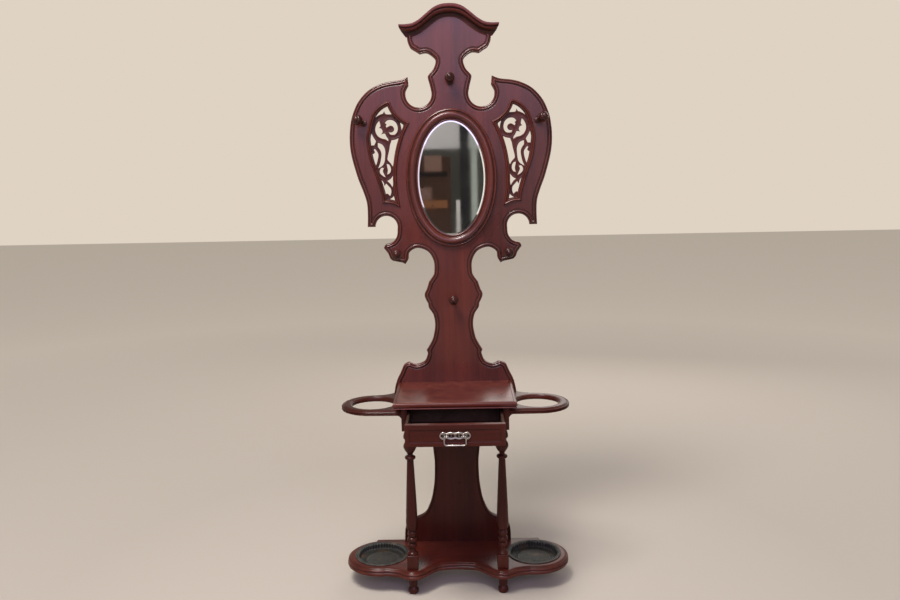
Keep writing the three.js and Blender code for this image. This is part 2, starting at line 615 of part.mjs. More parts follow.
function addPull({ front, centre }) {
  const plateFront = front - GAP - PULL_PLATE;
  add('pull_plate', board(pullPlateOutline(centre), plateFront, front - GAP), agedNickel);

  const postX = PULL_POST_SPACING / 2;
  const postFront = plateFront - GAP;
  const eyeY = postFront - PULL_POST_LENGTH + PULL_EYE;
  const profile = [[0, 0], [5, 0], [5, 2], [3, 4], [3, 6], [PULL_EYE, PULL_POST_LENGTH - PULL_EYE],
    [PULL_EYE * 0.7, PULL_POST_LENGTH - 1.5], [0, PULL_POST_LENGTH]];
  const boreRadius = PULL_ROD / 2 + 2 * GAP;
  for (const [side, sign] of [['left', -1], ['right', 1]]) {
    const post = turned(profile, 12).rotateX(Math.PI / 2).translate(sign * postX, postFront, centre);
    const bore = new THREE.CylinderGeometry(boreRadius, boreRadius, 30, 12).rotateZ(Math.PI / 2);
    bore.translate(sign * postX, eyeY, centre);
    add(`pull_post_${side}`, geometryOf(cut(solid(post), bore)), agedNickel);
  }

  const armX = postX + PULL_EYE + PULL_ROD / 2 + 1;
  const half = [[postX - PULL_EYE - 1, 0], [armX - 2, 0], [armX, -3], [armX, -PULL_DROP + 9],
    [armX - 2, -PULL_DROP + 2], [armX - 9, -PULL_DROP]];
  const route = [...half, ...half.map(([x, z]) => [-x, z]).reverse()];
  const points = route.map(([x, z]) => new THREE.Vector3(x, eyeY, centre + z));
  const rod = shapeOf(arc(0, 0, PULL_ROD / 2, 0, 315, 45));
  const extrudePath = new THREE.CatmullRomCurve3(points, false, 'centripetal');
  const sweep = { extrudePath, steps: 26, bevelEnabled: false };
  add('pull_bail', new THREE.ExtrudeGeometry(rod, sweep), agedNickel);
}

// ---------------------------------------------------------------- legs, feet and lower panel

function addLegs() {
  const blockTop = baseTop + GAP + LEG_BLOCK_HEIGHT;
  const top = caseUnderside - GAP;
  // Heights are taken down from the case, then from the block, so the long column takes up any change.
  const upper = [[0, 0], [18, 0], [18, 10], [24, 32], [24, 38], [18, 45], [18, 56], [24, 66], [25, 74],
    [19, 88], [10, 101], [14, 108], [20.5, 114], [20.5, 118], [13, 124]];
  const lower = [[22, 152], [23, 130], [21, 102], [13, 96], [17, 86], [17, 76], [13, 71], [19, 64],
    [19, 54], [12, 48], [17, 41], [17, 32], [13, 27], [13, 14], [20, 6], [20, -1], [0, -1]];
  const profile = [
    ...upper.map(([r, down]) => [r, top - down]),
    ...lower.map(([r, above]) => [r, blockTop + above]),
  ].reverse();
  const half = LEG_BLOCK / 2;
  const square = block([-half, -half, baseTop + GAP], [half, half, blockTop]);
  const leg = geometryOf(joined(turned(profile, 12), square));
  addPair('front_leg', leg.translate(legX, -LEG_SETBACK, 0));
}

function addFeet() {
  const top = BASE_UNDERSIDE - GAP;
  const profile = [[0, 0], [FOOT_RADIUS - 4, 0], [FOOT_RADIUS, 8], [FOOT_RADIUS, 20], [FOOT_RADIUS - 6, 28],
    [FOOT_RADIUS - 4, 34], [FOOT_RADIUS - 2, top - 6], [FOOT_RADIUS, top], [0, top]];
  for (const [name, setback] of [['foot_front', LEG_SETBACK], ['foot_rear', REAR_FOOT_SETBACK]]) {
    addPair(name, turned(profile, 12).translate(legX, -setback, 0));
  }
}

// The lower panel's side is drawn for this height and this half width of the case.
const PANEL_DRAWN_HEIGHT = 560;
const PANEL_DRAWN_HALF = 200;

function addLowerPanel() {
  const top = caseUnderside - GAP;
  const foot = baseTop + GAP;
  const rise = (top - foot) / PANEL_DRAWN_HEIGHT;
  const reach = caseHalf / PANEL_DRAWN_HALF;
  const side = smooth([[96, PANEL_DRAWN_HEIGHT], [96, 420], [90, 345], [92, 268], [98, 220], [109, 171],
    [132, 123], [165, 104]]);
  const toe = smooth([[165, 104], [194, 92], [214, 66], [219, 34], [219, 0]], 2);
  const half = join(side, toe).map(([x, z]) => [x * reach, foot + z * rise]);
  add('lower_back_panel', board(bothHalves(half), 0, BOARD));
}

// ---------------------------------------------------------------- base shelf and pans

// The base's front edge about a leg: how far out from the leg, and how far behind the nose.
const BASE_BOW = [[48, 24], [22, 5], [0, 0], [-22, 5], [-48, 24], [-76, 56], [-110, 80]];
const BASE_BOW_START = [76, 3]; // out from the leg, and in front of the lobe's foremost point

function addBase() {
  const nose = -LEG_SETBACK - LEG_BLOCK / 2 - BASE_NOSE;
  const lobeFront = -LOBE_SETBACK - lobeRadius;
  const startAngle = Math.asin((BOARD + LOBE_SETBACK) / lobeRadius) / DEGREE; // where the lobe meets the wall
  const lobe = arc(lobeX, -LOBE_SETBACK, lobeRadius, startAngle, -100, 12);
  const [startOut, startFront] = BASE_BOW_START;
  const bow = smooth([
    lobe[lobe.length - 1],
    [legX + startOut, lobeFront - startFront],
    ...BASE_BOW.map(([out, back]) => [legX + out, nose + back]),
    [0, nose + BASE_MIDDLE_SETBACK],
  ], 2);
  const outline = bothHalves(join([[0, BOARD]], lobe, bow));
  const hole = arc(lobeX, -LOBE_SETBACK, panHole, 0, 348, 12);
  const otherHole = hole.map(([x, y]) => [-x, y]).reverse();
  const shelf = cut(
    solid(slab(outline, BASE_UNDERSIDE, baseTop)),
    slab(hole, 0, FAR),
    slab(otherHole, 0, FAR),
  );
  add('base_shelf', geometryOf(shelf));
}

function addPans() {
  const rimBottom = baseTop + GAP;
  const rimTop = rimBottom + PAN_RIM_THICKNESS;
  const floor = baseTop - PAN_DEPTH;
  const innerTop = PAN_BODY - PAN_WALL;
  const profile = [[0, floor], [PAN_BODY - PAN_TAPER, floor], [PAN_BODY, floor + PAN_BEND],
    [PAN_BODY, rimBottom], [PAN_BODY + PAN_LIP, rimBottom], [PAN_BODY + PAN_LIP, rimTop],
    [innerTop, rimTop], [innerTop, floor + PAN_BEND + PAN_WALL / 2],
    [innerTop - PAN_TAPER + PAN_WALL / 2, floor + PAN_WALL], [0, floor + PAN_WALL]];
  addPair('drip_pan', turned(profile, 24).translate(lobeX, -LOBE_SETBACK, 0), castIron);
}

// ---------------------------------------------------------------- assembly

addBack();
addWindowMoulding();
addFretPanels();
addCrest();
addMirror();
addPegs();
const caseInside = addTable();
addRings();
addPull(addDrawer(caseInside));
addLegs();
addFeet();
addLowerPanel();
addBase();
addPans();

// The origin is on the floor, midway between the wall and the pull of the open drawer.
const foremost = CASE_DEPTH + DRAWER_OPEN + GAP + PULL_PLATE + GAP + PULL_POST_LENGTH;
const middle = (foremost - BOARD) / 2;
for (const mesh of hallStand.children) mesh.geometry.translate(0, middle, 0);

export default hallStand;
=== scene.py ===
"""Victorian mahogany hall stand: the finished surfaces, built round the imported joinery.

Shape functions work in millimetres: x to the right, y into the wall from the front face of the back
boards, z up from the floor. put() turns them into metres in the frame's own place."""

import math

import bpy
import numpy as np
from bpy.props import FloatProperty, FloatVectorProperty, IntProperty, PointerProperty
from mathutils import Matrix, Vector
from mathutils.geometry import delaunay_2d_cdt


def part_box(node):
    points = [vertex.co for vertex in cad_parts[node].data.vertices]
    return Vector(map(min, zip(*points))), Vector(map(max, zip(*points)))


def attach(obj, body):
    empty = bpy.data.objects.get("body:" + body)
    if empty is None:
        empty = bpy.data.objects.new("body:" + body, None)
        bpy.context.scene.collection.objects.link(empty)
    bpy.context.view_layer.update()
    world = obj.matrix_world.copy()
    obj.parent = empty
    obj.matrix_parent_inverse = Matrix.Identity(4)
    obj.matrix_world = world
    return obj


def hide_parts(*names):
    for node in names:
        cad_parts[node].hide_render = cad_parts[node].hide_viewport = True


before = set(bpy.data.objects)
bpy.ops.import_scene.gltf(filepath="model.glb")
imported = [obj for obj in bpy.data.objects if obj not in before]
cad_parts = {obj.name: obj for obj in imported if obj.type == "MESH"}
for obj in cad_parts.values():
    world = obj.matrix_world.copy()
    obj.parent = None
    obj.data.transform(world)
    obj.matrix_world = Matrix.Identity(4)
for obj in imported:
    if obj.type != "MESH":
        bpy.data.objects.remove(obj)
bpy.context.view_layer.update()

bl_info = {
    "name": "Victorian Hall Stand",
    "version": (1, 0, 0),
    "blender": (4, 5, 0),
    "location": "3D View > Sidebar > Hall Stand",
    "description": "Carved boards, turned work, mirror and ironwork of a mahogany hall stand",
    "category": "Add Mesh",
}

# ------------------------------------------------------------------ places taken from the frame

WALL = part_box("back_centre_board")[0].y
SIDES = {"left": -1, "right": 1}
MM = 1000  # to the metre
GAP = 0.3  # between pieces that touch
TINY = 1e-9


def span(node):
    """A node's lowest and highest corners, in millimetres from the front of the back boards."""
    low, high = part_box(node)
    shift = np.array([0, WALL, 0])
    return (np.array(low) - shift) * MM, (np.array(high) - shift) * MM


def centre(node):
    """The middle of a node's box."""
    low, high = span(node)
    return (low + high) / 2


BOARD = span("back_centre_board")[1][1]
TABLE_Z = span("table_top")[1][2]
TOP_Z = span("crest_moulding")[1][2]
WING_X = span("back_wing_right")[1][0]
SEAM_X = span("back_centre_board")[1][0]
SIDE_X = span("back_wing_right")[0][0]
CASE_X = span("case_side_right")[1][0]
CASE_Z = span("case_side_right")[0][2]
SHELF = span("base_shelf")
GLASS = span("mirror_glass")
MIRROR_Z = centre("mirror_glass")[2]
FRAME_HALF = (span("mirror_frame")[1] - span("mirror_frame")[0])[[0, 2]] / 2
LEG_X = centre("foot_front_right")[0]
DRAWN_WIDTH, DRAWN_RISE = 392.0, 1460.0  # half the back's width and its rise over the table, as drawn


def placed(points):
    """Drawn points (x from the middle, z over the table) on the stand: each coordinate is stretched
    so that the drawing's width and rise become the back's."""
    p = np.asarray(points, float)
    stretch = np.array([WING_X / DRAWN_WIDTH, (TOP_Z - TABLE_Z) / DRAWN_RISE])
    return p[..., :2] * stretch + [0, TABLE_Z]


# ------------------------------------------------------------------ curves

SAME_POINT = 0.05  # points nearer than this are one
MITRE_LIMIT = 0.42  # least cosine that a mitre is lengthened by


def smooth(points, steps=8):
    """A curve through the points: each span is the cubic whose end slopes are half the way between
    the neighbours on either side."""
    p = np.asarray(points, float)
    p = np.vstack([p[0], p, p[-1]])
    t = np.linspace(0, 1, steps, endpoint=False)[:, None, None]
    a, b, c, d = p[:-3], p[1:-2], p[2:-1], p[3:]
    v0, v1 = (c - a) / 2, (d - b) / 2
    q = (2 * b - 2 * c + v0 + v1) * t**3 + (3 * c - 3 * b - 2 * v0 - v1) * t**2 + v0 * t + b
    return np.vstack([q.transpose(1, 0, 2).reshape(-1, p.shape[1]), p[-1]])


def running(path):
    """How far along a polyline each of its points lies."""
    return np.r_[0, np.cumsum(np.linalg.norm(np.diff(path, axis=0), axis=1))]


def even_by(path, count):
    """A polyline as that many evenly spaced points; both ends stay."""
    run = running(path)
    s = np.linspace(0, run[-1], count)
    return np.stack([np.interp(s, run, path[:, k]) for k in range(path.shape[1])], 1)


def even(path, gap):
    """Points evenly spaced along a polyline, about gap apart; both ends stay."""
    return even_by(path, max(2, int(round(running(path)[-1] / gap)) + 1))


def arc(x, z, radius, start, end, gap=4):
    """Points on a circle: centre plus radius times (cosine, sine) of an angle from start to end degrees."""
    count = max(3, int(math.radians(abs(end - start)) * radius / gap) + 1)
    a = np.radians(np.linspace(start, end, count))
    return np.stack([x + radius * np.cos(a), z + radius * np.sin(a)], 1)


def oval(half_width, half_height, count=180):
    """An ellipse about the mirror's centre: (half width cosine, half height sine) of the angle."""
    a = np.linspace(0, 2 * np.pi, count, endpoint=False)
    return np.stack([half_width * np.cos(a), MIRROR_Z + half_height * np.sin(a)], 1)


def join(*runs):
    """Runs of points end to end as one closed loop, without the ones that repeat."""
    p = np.vstack(runs)
    return p[np.linalg.norm(p - np.roll(p, 1, 0), axis=1) > SAME_POINT]


def both_halves(half):
    """A half outline and its mirror image as one closed loop."""
    return join(half, (half * [-1, 1])[::-1])


def turning(loop, closed=True):
    """Outward mitre vectors of a loop: the mean of the two edge normals, lengthened so that both
    edges move out by one. An open path ends square to its last edge."""
    area = (loop[:, 0] * np.roll(loop[:, 1], -1) - np.roll(loop[:, 0], -1) * loop[:, 1]).sum()
    edge = np.roll(loop, -1, 0) - loop
    edge /= np.maximum(np.linalg.norm(edge, axis=1, keepdims=True), TINY)
    normal = np.stack([edge[:, 1], -edge[:, 0]], 1) * np.sign(area)
    before = np.roll(normal, 1, 0)
    if not closed:
        before[0], normal[-1] = normal[0], before[-1]
    mean = normal + before
    mean /= np.maximum(np.linalg.norm(mean, axis=1, keepdims=True), TINY)
    return mean / np.maximum((mean * normal).sum(1, keepdims=True), MITRE_LIMIT), normal, before


# ------------------------------------------------------------------ flat regions

BATCH = 3000  # points worked out at a time


def distance(points, loop):
    """Shortest way from each point to a closed loop: the least over its edges of the length of the
    point less its nearest place on the edge."""
    a, edge = loop, np.roll(loop, -1, 0) - loop
    length2 = np.maximum((edge**2).sum(1), TINY)
    out = np.empty(len(points))
    for i in range(0, len(points), BATCH):
        d = points[i : i + BATCH, None] - a
        t = np.clip((d * edge).sum(2) / length2, 0, 1)
        out[i : i + BATCH] = np.sqrt(((d - t[..., None] * edge) ** 2).sum(2).min(1))
    return out


def inside(points, loop):
    """True where a ray to +x crosses the closed loop an odd number of times."""
    x0, z0 = loop.T
    x1, z1 = np.roll(loop, -1, 0).T
    out = np.empty(len(points), bool)
    rise = np.where(z1 == z0, TINY, z1 - z0)
    for i in range(0, len(points), BATCH):
        x, z = points[i : i + BATCH].T[:, :, None]
        hit = ((z0 > z) != (z1 > z)) & (x < (x1 - x0) * (z - z0) / rise + x0)
        out[i : i + BATCH] = hit.sum(1) % 2 == 1
    return out


def triangulate(loops, loose=None, lines=()):
    """Delaunay triangles of closed loops, loose points and open lines, kept where they lie inside."""
    points, edges, n = [], [], 0
    for loop in loops:
        points.append(loop)
        k = np.arange(len(loop)) + n
        edges += np.stack([k, np.roll(k, -1)], 1).tolist()
        n += len(loop)
    for line in lines:
        points.append(np.asarray(line, float))
        edges += [[n + i, n + i + 1] for i in range(len(line) - 1)]
        n += len(line)
    if loose is not None:
        points.append(loose)
    flat = [Vector(p) for p in np.vstack(points).tolist()]
    made = delaunay_2d_cdt(flat, edges, [], 1, 1e-4)
    return np.array([tuple(p) for p in made[0]]), np.array(made[2])


def fill(outer, *holes):
    """Triangles of a loop less its holes, numbered along the loops as given."""
    points, tris = triangulate([outer, *holes])
    loops = np.vstack([outer, *holes])
    number = ((points[:, None] - loops) ** 2).sum(2).argmin(1)
    middle = points[tris].mean(1)
    keep = np.ones(len(tris), bool)
    for hole in holes:
        keep &= ~inside(middle, hole)
    return number[tris[keep]]


# ------------------------------------------------------------------ closed skins

ROUNDING_LIMIT = 0.98  # most of half a block's thickness that rounding may take


def outward(verts, faces):
    """The faces, turned round if the volume that they enclose comes out negative."""
    total = 0.0
    for f in faces:
        a = verts[f[:, 0]]
        for k in range(1, f.shape[1] - 1):
            total += (a * np.cross(verts[f[:, k]], verts[f[:, k + 1]])).sum()
    return (verts, faces) if total > 0 else (verts, [f[:, ::-1] for f in faces])


def edges_of(faces):
    """Every edge of the faces, running the way that its face does."""
    sides = faces.shape[1]
    return np.concatenate([faces[:, [k, (k + 1) % sides]] for k in range(sides)])


def quads(rows, columns, wrap_rows=False, wrap_columns=True, first=0):
    """Faces of a grid of points that are numbered row by row: each joins a point, the next in its
    row and the two above them. A wrapped side closes on its own start."""
    v = np.arange(rows if wrap_rows else rows - 1)[:, None]
    u = np.arange(columns if wrap_columns else columns - 1)[None]
    around = ((0, 0), (0, 1), (1, 1), (1, 0))
    corners = [first + (v + i) % rows * columns + (u + j) % columns for i, j in around]
    return np.stack(corners, -1).reshape(-1, 4)


def skin(grid, wrap_u=True, wrap_v=True, caps=None):
    """A closed skin over a (v, u) grid of points, with quads between neighbours. Where v is open,
    its first and last rows are closed by the triangles in caps, or by one flat face each."""
    nv, nu = grid.shape[:2]
    faces = [quads(nv, nu, wrap_v, wrap_u)]
    if not wrap_v:
        ends = np.arange(nu)[None] if caps is None else caps
        faces = steady([*faces, ends[:, ::-1], ends + (nv - 1) * nu])
    return outward(grid.reshape(-1, 3), faces)


def steady(faces):
    """Caps turned so that each shares its edges with the quads in the opposite sense."""
    have = set(map(tuple, edges_of(faces[0]).tolist()))
    out = [faces[0]]
    for cap in faces[1:]:
        rim = edges_of(cap).tolist()
        clash = sum(tuple(e) in have for e in rim)
        meet = sum((e[1], e[0]) in have for e in rim)
        out.append(cap[:, ::-1] if clash > meet else cap)
    return out


def carried(loop, section, closed=True, level=False):
    """A section carried round a flat loop: the point at (v, u) is loop[u] plus mitre[u] times the
    section's first number, at the depth or height of its second."""
    mitre = turning(loop, closed)[0]
    s = np.asarray(section, float)
    flat = loop[None] + mitre[None] * s[:, 0, None, None]
    depth = np.broadcast_to(s[:, 1, None], flat.shape[:2])
    across, up = flat[..., 0], flat[..., 1]
    return np.stack([across, up, depth] if level else [across, depth, up], -1)


def moulded_slab(path, section, closed=False, level=True):
    """A slab whose edge has a section, from its under face to its upper one, and flat faces."""
    grid = carried(path, section, closed, level)
    across = [0, 1] if level else [0, 2]
    return skin(grid, True, False, fill(grid[0][:, across]))


def pierced(grid, holes):
    """A moulded slab with moulded holes: the edge grid, a grid for each hole, and flat faces between
    their first rows and between their last rows, of which the higher faces up."""
    grids = [grid, *holes]
    starts = np.cumsum([0] + [len(g) * g.shape[1] for g in grids])
    verts = np.vstack([g.reshape(-1, 3) for g in grids])
    upper = -1 if grid[-1][:, 2].mean() > grid[0][:, 2].mean() else 0
    caps = []
    for k in (0, -1):
        rows = [n + k % len(g) * g.shape[1] + np.arange(g.shape[1]) for g, n in zip(grids, starts)]
        cap = np.concatenate(rows)[fill(*[g[k][:, :2] for g in grids])]
        a, b, c = (verts[cap[:, i]] for i in range(3))
        faces_up = np.cross(b - a, c - a)[:, 2].sum() > 0
        caps.append(cap if faces_up == (k == upper) else cap[:, ::-1])
    rim = set(map(tuple, np.concatenate([edges_of(cap) for cap in caps]).tolist()))
    walls = [quads(*g.shape[:2], first=n) for g, n in zip(grids, starts)]
    for k, wall in enumerate(walls):
        if sum(tuple(e) in rim for e in edges_of(wall).tolist()) > 2:
            walls[k] = wall[:, ::-1]
    return verts, walls + caps


def rounded(low, high, r=1.5, steps=3):
    """A block with rounded edges: a rounded rectangle carried up, drawn in by r(1 - sine) at height
    r(1 - cosine) near its two faces."""
    low, high = np.asarray(low, float), np.asarray(high, float)
    r = min(r, (high - low).min() / 2 * ROUNDING_LIMIT)
    a = np.radians(np.linspace(0, 90, steps + 1))
    x0, y0, z0 = low + r
    x1, y1, z1 = high - r
    corner, runs = np.stack([np.cos(a), np.sin(a)], 1) * r, []
    for x, y in ((x1, y1), (x0, y1), (x0, y0), (x1, y0)):
        runs.append(corner + [x, y])
        corner = np.stack([-corner[:, 1], corner[:, 0]], 1)
    loop = np.vstack(runs)
    rise = np.r_[z0 - r * np.sin(a[::-1]), z1 + r * np.sin(a)]
    inset = np.r_[1 - np.cos(a[::-1]), 1 - np.cos(a)] * r
    way = np.sign(loop - (low + high)[:2] / 2)
    rows = [np.column_stack([loop - way * i, np.full(len(loop), z)]) for i, z in zip(inset, rise)]
    return skin(np.stack(rows), True, False)


def turned(profile, around=48, ribs=0, depth=0.0, ribbed=None):
    """A turned piece about z: radius and height from the profile, swept through a full circle. The
    radius may be drawn in by depth times a rounded rib, where ribbed is one."""
    p = np.asarray(profile, float)
    a = np.linspace(0, 2 * np.pi, around, endpoint=False)
    n = len(p) - 2
    r = np.broadcast_to(p[1:-1, :1], (n, around)).copy()
    if ribs:
        r -= depth * np.abs(np.sin(a * ribs / 2))[None] * np.asarray(ribbed, float)[1:-1, None]
    z = np.broadcast_to(p[1:-1, 1:], r.shape)
    verts = np.stack([r * np.cos(a), r * np.sin(a), z], -1).reshape(-1, 3)
    u = np.arange(around)
    after, last = (u + 1) % around, (n - 1) * around
    low, high = np.full(around, n * around), np.full(around, n * around + 1)
    fans = np.vstack([np.stack([low, after, u], 1), np.stack([high, last + u, last + after], 1)])
    poles = [[0, 0, p[0, 1]], [0, 0, p[-1, 1]]]
    return outward(np.vstack([verts, poles]), [quads(n, around), fans])


def tube(path, radius, around=12):
    """A round bar along a path: a circle of that radius, square to the path at each point."""
    t = np.gradient(path, axis=0)
    t /= np.linalg.norm(t, axis=1, keepdims=True)
    side = np.cross(t, [0.0, 1.0, 0.0])
    side /= np.linalg.norm(side, axis=1, keepdims=True)
    over = np.cross(side, t)
    a = np.linspace(0, 2 * np.pi, around, endpoint=False)
    r = np.broadcast_to(np.asarray(radius, float), len(path))[:, None, None]
    ring = np.cos(a)[None, :, None] * side[:, None] + np.sin(a)[None, :, None] * over[:, None]
    return skin(path[:, None] + ring * r, True, False)


def moved(part, offset=(0, 0, 0), tilt=None):
    """A part turned by a matrix and then moved."""
    verts, faces = part
    if tilt is not None:
        verts = verts @ np.array(tilt.to_3x3()).T
    return verts + np.asarray(offset, float), faces


def flipped(part):
    """A part's mirror image in the middle plane, its faces turned back to point out."""
    verts, faces, *worn = part
    return verts * [-1, 1, 1], [f[:, ::-1] for f in faces], *worn


def handed(parts, sign):
    """Right-hand parts, or their mirror images for the left."""
    return parts if sign > 0 else [flipped(p) for p in parts]


# ------------------------------------------------------------------ pieces

BEND_GAIN = 1.6  # relief for a point's bend
SMOOTH_ANGLE = 34  # degrees between faces that still shade as one
TONE_STEP = 0.618  # spreads the pieces' tones evenly


def relief(verts, faces):
    """How far each point stands proud of its neighbours, from 0 in a hollow to 1 on an edge: a half
    less the mean offset to the neighbours along the normal, over the mean edge length."""
    edges = np.vstack([edges_of(f) for f in faces])
    total, count = np.zeros_like(verts), np.zeros(len(verts))
    step = verts[edges[:, 1]] - verts[edges[:, 0]]
    unit = step / np.maximum(np.linalg.norm(step, axis=1, keepdims=True), TINY)
    for end, sense in ((0, 1), (1, -1)):
        np.add.at(total, edges[:, end], unit * sense)
        np.add.at(count, edges[:, end], 1)
    normal = np.zeros_like(verts)
    for f in faces:
        cross = np.cross(verts[f[:, 1]] - verts[f[:, 0]], verts[f[:, -1]] - verts[f[:, 0]])
        for k in range(f.shape[1]):
            np.add.at(normal, f[:, k], cross)
    normal /= np.maximum(np.linalg.norm(normal, axis=1, keepdims=True), TINY)
    bend = (total * normal).sum(1) / np.maximum(count, 1)
    return np.clip(0.5 - bend * BEND_GAIN, 0, 1)


def put(name, parts, body, finish, nodes, angle=SMOOTH_ANGLE):
    """Makes one piece out of closed parts, on a body, in place of CAD nodes. Each piece has a relief for
    its wear and its painted shade, and a tone of its own, worked out from its name."""
    verts, faces, relief_for_wear_and_shade, n = [], [], [], 0
    for v, fs, *worn in parts:
        relief_for_wear_and_shade.append(worn[0] if worn else relief(v, fs))
        verts.append(v)
        for f in fs:
            faces += (f + n).tolist()
        n += len(v)
    mesh = bpy.data.meshes.new(name)
    mesh.from_pydata((np.vstack(verts) / MM + [0, WALL, 0]).tolist(), [], faces)
    mesh.materials.append(bpy.data.materials[finish])
    mesh.polygons.foreach_set("use_smooth", np.ones(len(mesh.polygons), bool))
    mesh.set_sharp_from_angle(angle=math.radians(angle))
    mesh.attributes.new("relief", "FLOAT", "POINT").data.foreach_set("value", np.concatenate(relief_for_wear_and_shade))
    tone = np.full(n, sum(map(ord, name)) * TONE_STEP % 1)
    mesh.attributes.new("tone", "FLOAT", "POINT").data.foreach_set("value", tone)
    piece = bpy.data.objects.new(name, mesh)
    bpy.context.scene.collection.objects.link(piece)
    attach(piece, body)
    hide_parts(*nodes)


# ------------------------------------------------------------------ finishes

EVENLY = (1, 1, 1)  # noise that no way stretches
ALONG_X = (0, math.pi / 2, 0)  # turns grain that runs up so that it runs across
ALONG_Y = (math.pi / 2, 0, 0)  # and so that it runs to the back


def new_group(name, inputs, outputs):
    """An empty shader node group with its sockets, and its two ends."""
    tree = bpy.data.node_groups.new(name, "ShaderNodeTree")
    for label, kind, value in inputs:
        socket = tree.interface.new_socket(label, in_out="INPUT", socket_type="NodeSocket" + kind)
        if value is not None:
            socket.default_value = value
    for label, kind in outputs:
        tree.interface.new_socket(label, in_out="OUTPUT", socket_type="NodeSocket" + kind)
    return tree, tree.nodes.new("NodeGroupInput"), tree.nodes.new("NodeGroupOutput")


def node(tree, kind, inputs=(), **settings):
    """One shader node with its settings; inputs pairs a socket with a value or another socket."""
    made = tree.nodes.new("ShaderNode" + kind)
    for key, value in settings.items():
        setattr(made, key, value)
    for key, value in inputs:
        if isinstance(value, bpy.types.NodeSocket):
            tree.links.new(value, made.inputs[key])
        else:
            made.inputs[key].default_value = value
    return made


def noise(tree, place, scale, stretch, detail=3.0, roughness=0.55):
    """Noise over a place stretched along the grain."""
    mapped = node(tree, "Mapping", [("Vector", place), ("Scale", stretch)])
    return node(tree, "TexNoise", [("Vector", mapped.outputs[0]), ("Scale", scale), ("Detail", detail),
                                   ("Roughness", roughness)]).outputs["Fac"]


def ramp(tree, value, low, high, to_low=0.0, to_high=1.0):
    """A value brought from one range to another and held there."""
    return node(tree, "MapRange", [("Value", value), ("From Min", low), ("From Max", high),
                                   ("To Min", to_low), ("To Max", to_high)]).outputs[0]


def blend(tree, share, first, second):
    """Two colours mixed by a share."""
    return node(tree, "Mix", [(0, share), (6, first), (7, second)], data_type="RGBA").outputs[2]


def added(tree, first, second):
    """One value plus another."""
    return node(tree, "Math", [(0, first), (1, second)], operation="ADD").outputs[0]


def times(tree, first, second):
    """One value times another."""
    return node(tree, "Math", [(0, first), (1, second)], operation="MULTIPLY").outputs[0]


def figured_grain():
    """Wood grain along z: slow bands of figure, fine streaks and short dark pores."""
    tree, start, end = new_group(
        "figured grain",
        [("Place", "Vector", None), ("Dark", "Color", None), ("Light", "Color", None),
         ("Pores", "Float", 0.5)],
        [("Colour", "Color"), ("Height", "Float")],
    )
    place, dark, light, pores = start.outputs[:4]
    figure = ramp(tree, noise(tree, place, 7, (1, 1, 0.16), 3), 0.34, 0.68)
    streaks = ramp(tree, noise(tree, place, 60, (1, 1, 0.035), 4, 0.6), 0.32, 0.7)
    pore = ramp(tree, noise(tree, place, 420, (1, 1, 0.03), 1), 0.36, 0.27)
    tone = added(tree, times(tree, figure, 0.6), times(tree, streaks, 0.4))
    depth = times(tree, pore, pores)
    colour = blend(tree, depth, blend(tree, tone, dark, light), (0.012, 0.004, 0.003, 1))
    height = added(tree, times(tree, streaks, 0.3), times(tree, depth, -1.0))
    tree.links.new(colour, end.inputs["Colour"])
    tree.links.new(height, end.inputs["Height"])


def age_wear_and_shade():
    """Masks of age from the relief: rubbed edges, grime and painted shade in hollows, and a cloudy old
    polish.
    """
    tree, start, end = new_group(
        "age, wear and shade",
        [("Place", "Vector", None), ("Relief", "Float", 0.5)],
        [("Rubbed", "Float"), ("Grime and shade", "Float"), ("Cloud", "Float")],
    )
    place, relief_for_wear_and_shade = start.outputs[:2]
    patch = ramp(tree, noise(tree, place, 28, EVENLY, 4), 0.35, 0.65)
    rubbed = times(tree, ramp(tree, relief_for_wear_and_shade, 0.56, 0.86), patch)
    # Darker in the hollows: grime, and painted shade where a hollow lies in shadow.
    grime_and_shade = times(tree, ramp(tree, relief_for_wear_and_shade, 0.47, 0.25), ramp(tree, patch, 0, 1, 1.0, 0.6))
    cloud = ramp(tree, noise(tree, place, 4.5, EVENLY, 3), 0.3, 0.7)
    for label, value in (("Rubbed", rubbed), ("Grime and shade", grime_and_shade), ("Cloud", cloud)):
        tree.links.new(value, end.inputs[label])


def surface(name, metallic=0.0, coat=0.0, coat_roughness=0.2, specular=0.5):
    """A material with its own shader, object coordinates, relief and the masks of wear and of painted shade.
    """
    material = bpy.data.materials.new(name)
    material.use_nodes = True
    tree = material.node_tree
    shader = tree.nodes["Principled BSDF"]
    shader.inputs["Metallic"].default_value = metallic
    shader.inputs["Coat Weight"].default_value = coat
    shader.inputs["Coat Roughness"].default_value = coat_roughness
    shader.inputs["Specular IOR Level"].default_value = specular
    place = node(tree, "TexCoord").outputs["Object"]
    relief_for_wear_and_shade = node(tree, "Attribute", attribute_name="relief").outputs["Fac"]
    wear = node(tree, "Group", node_tree=bpy.data.node_groups["age, wear and shade"])
    tree.links.new(place, wear.inputs["Place"])
    tree.links.new(relief_for_wear_and_shade, wear.inputs["Relief"])
    return tree, shader, place, wear.outputs


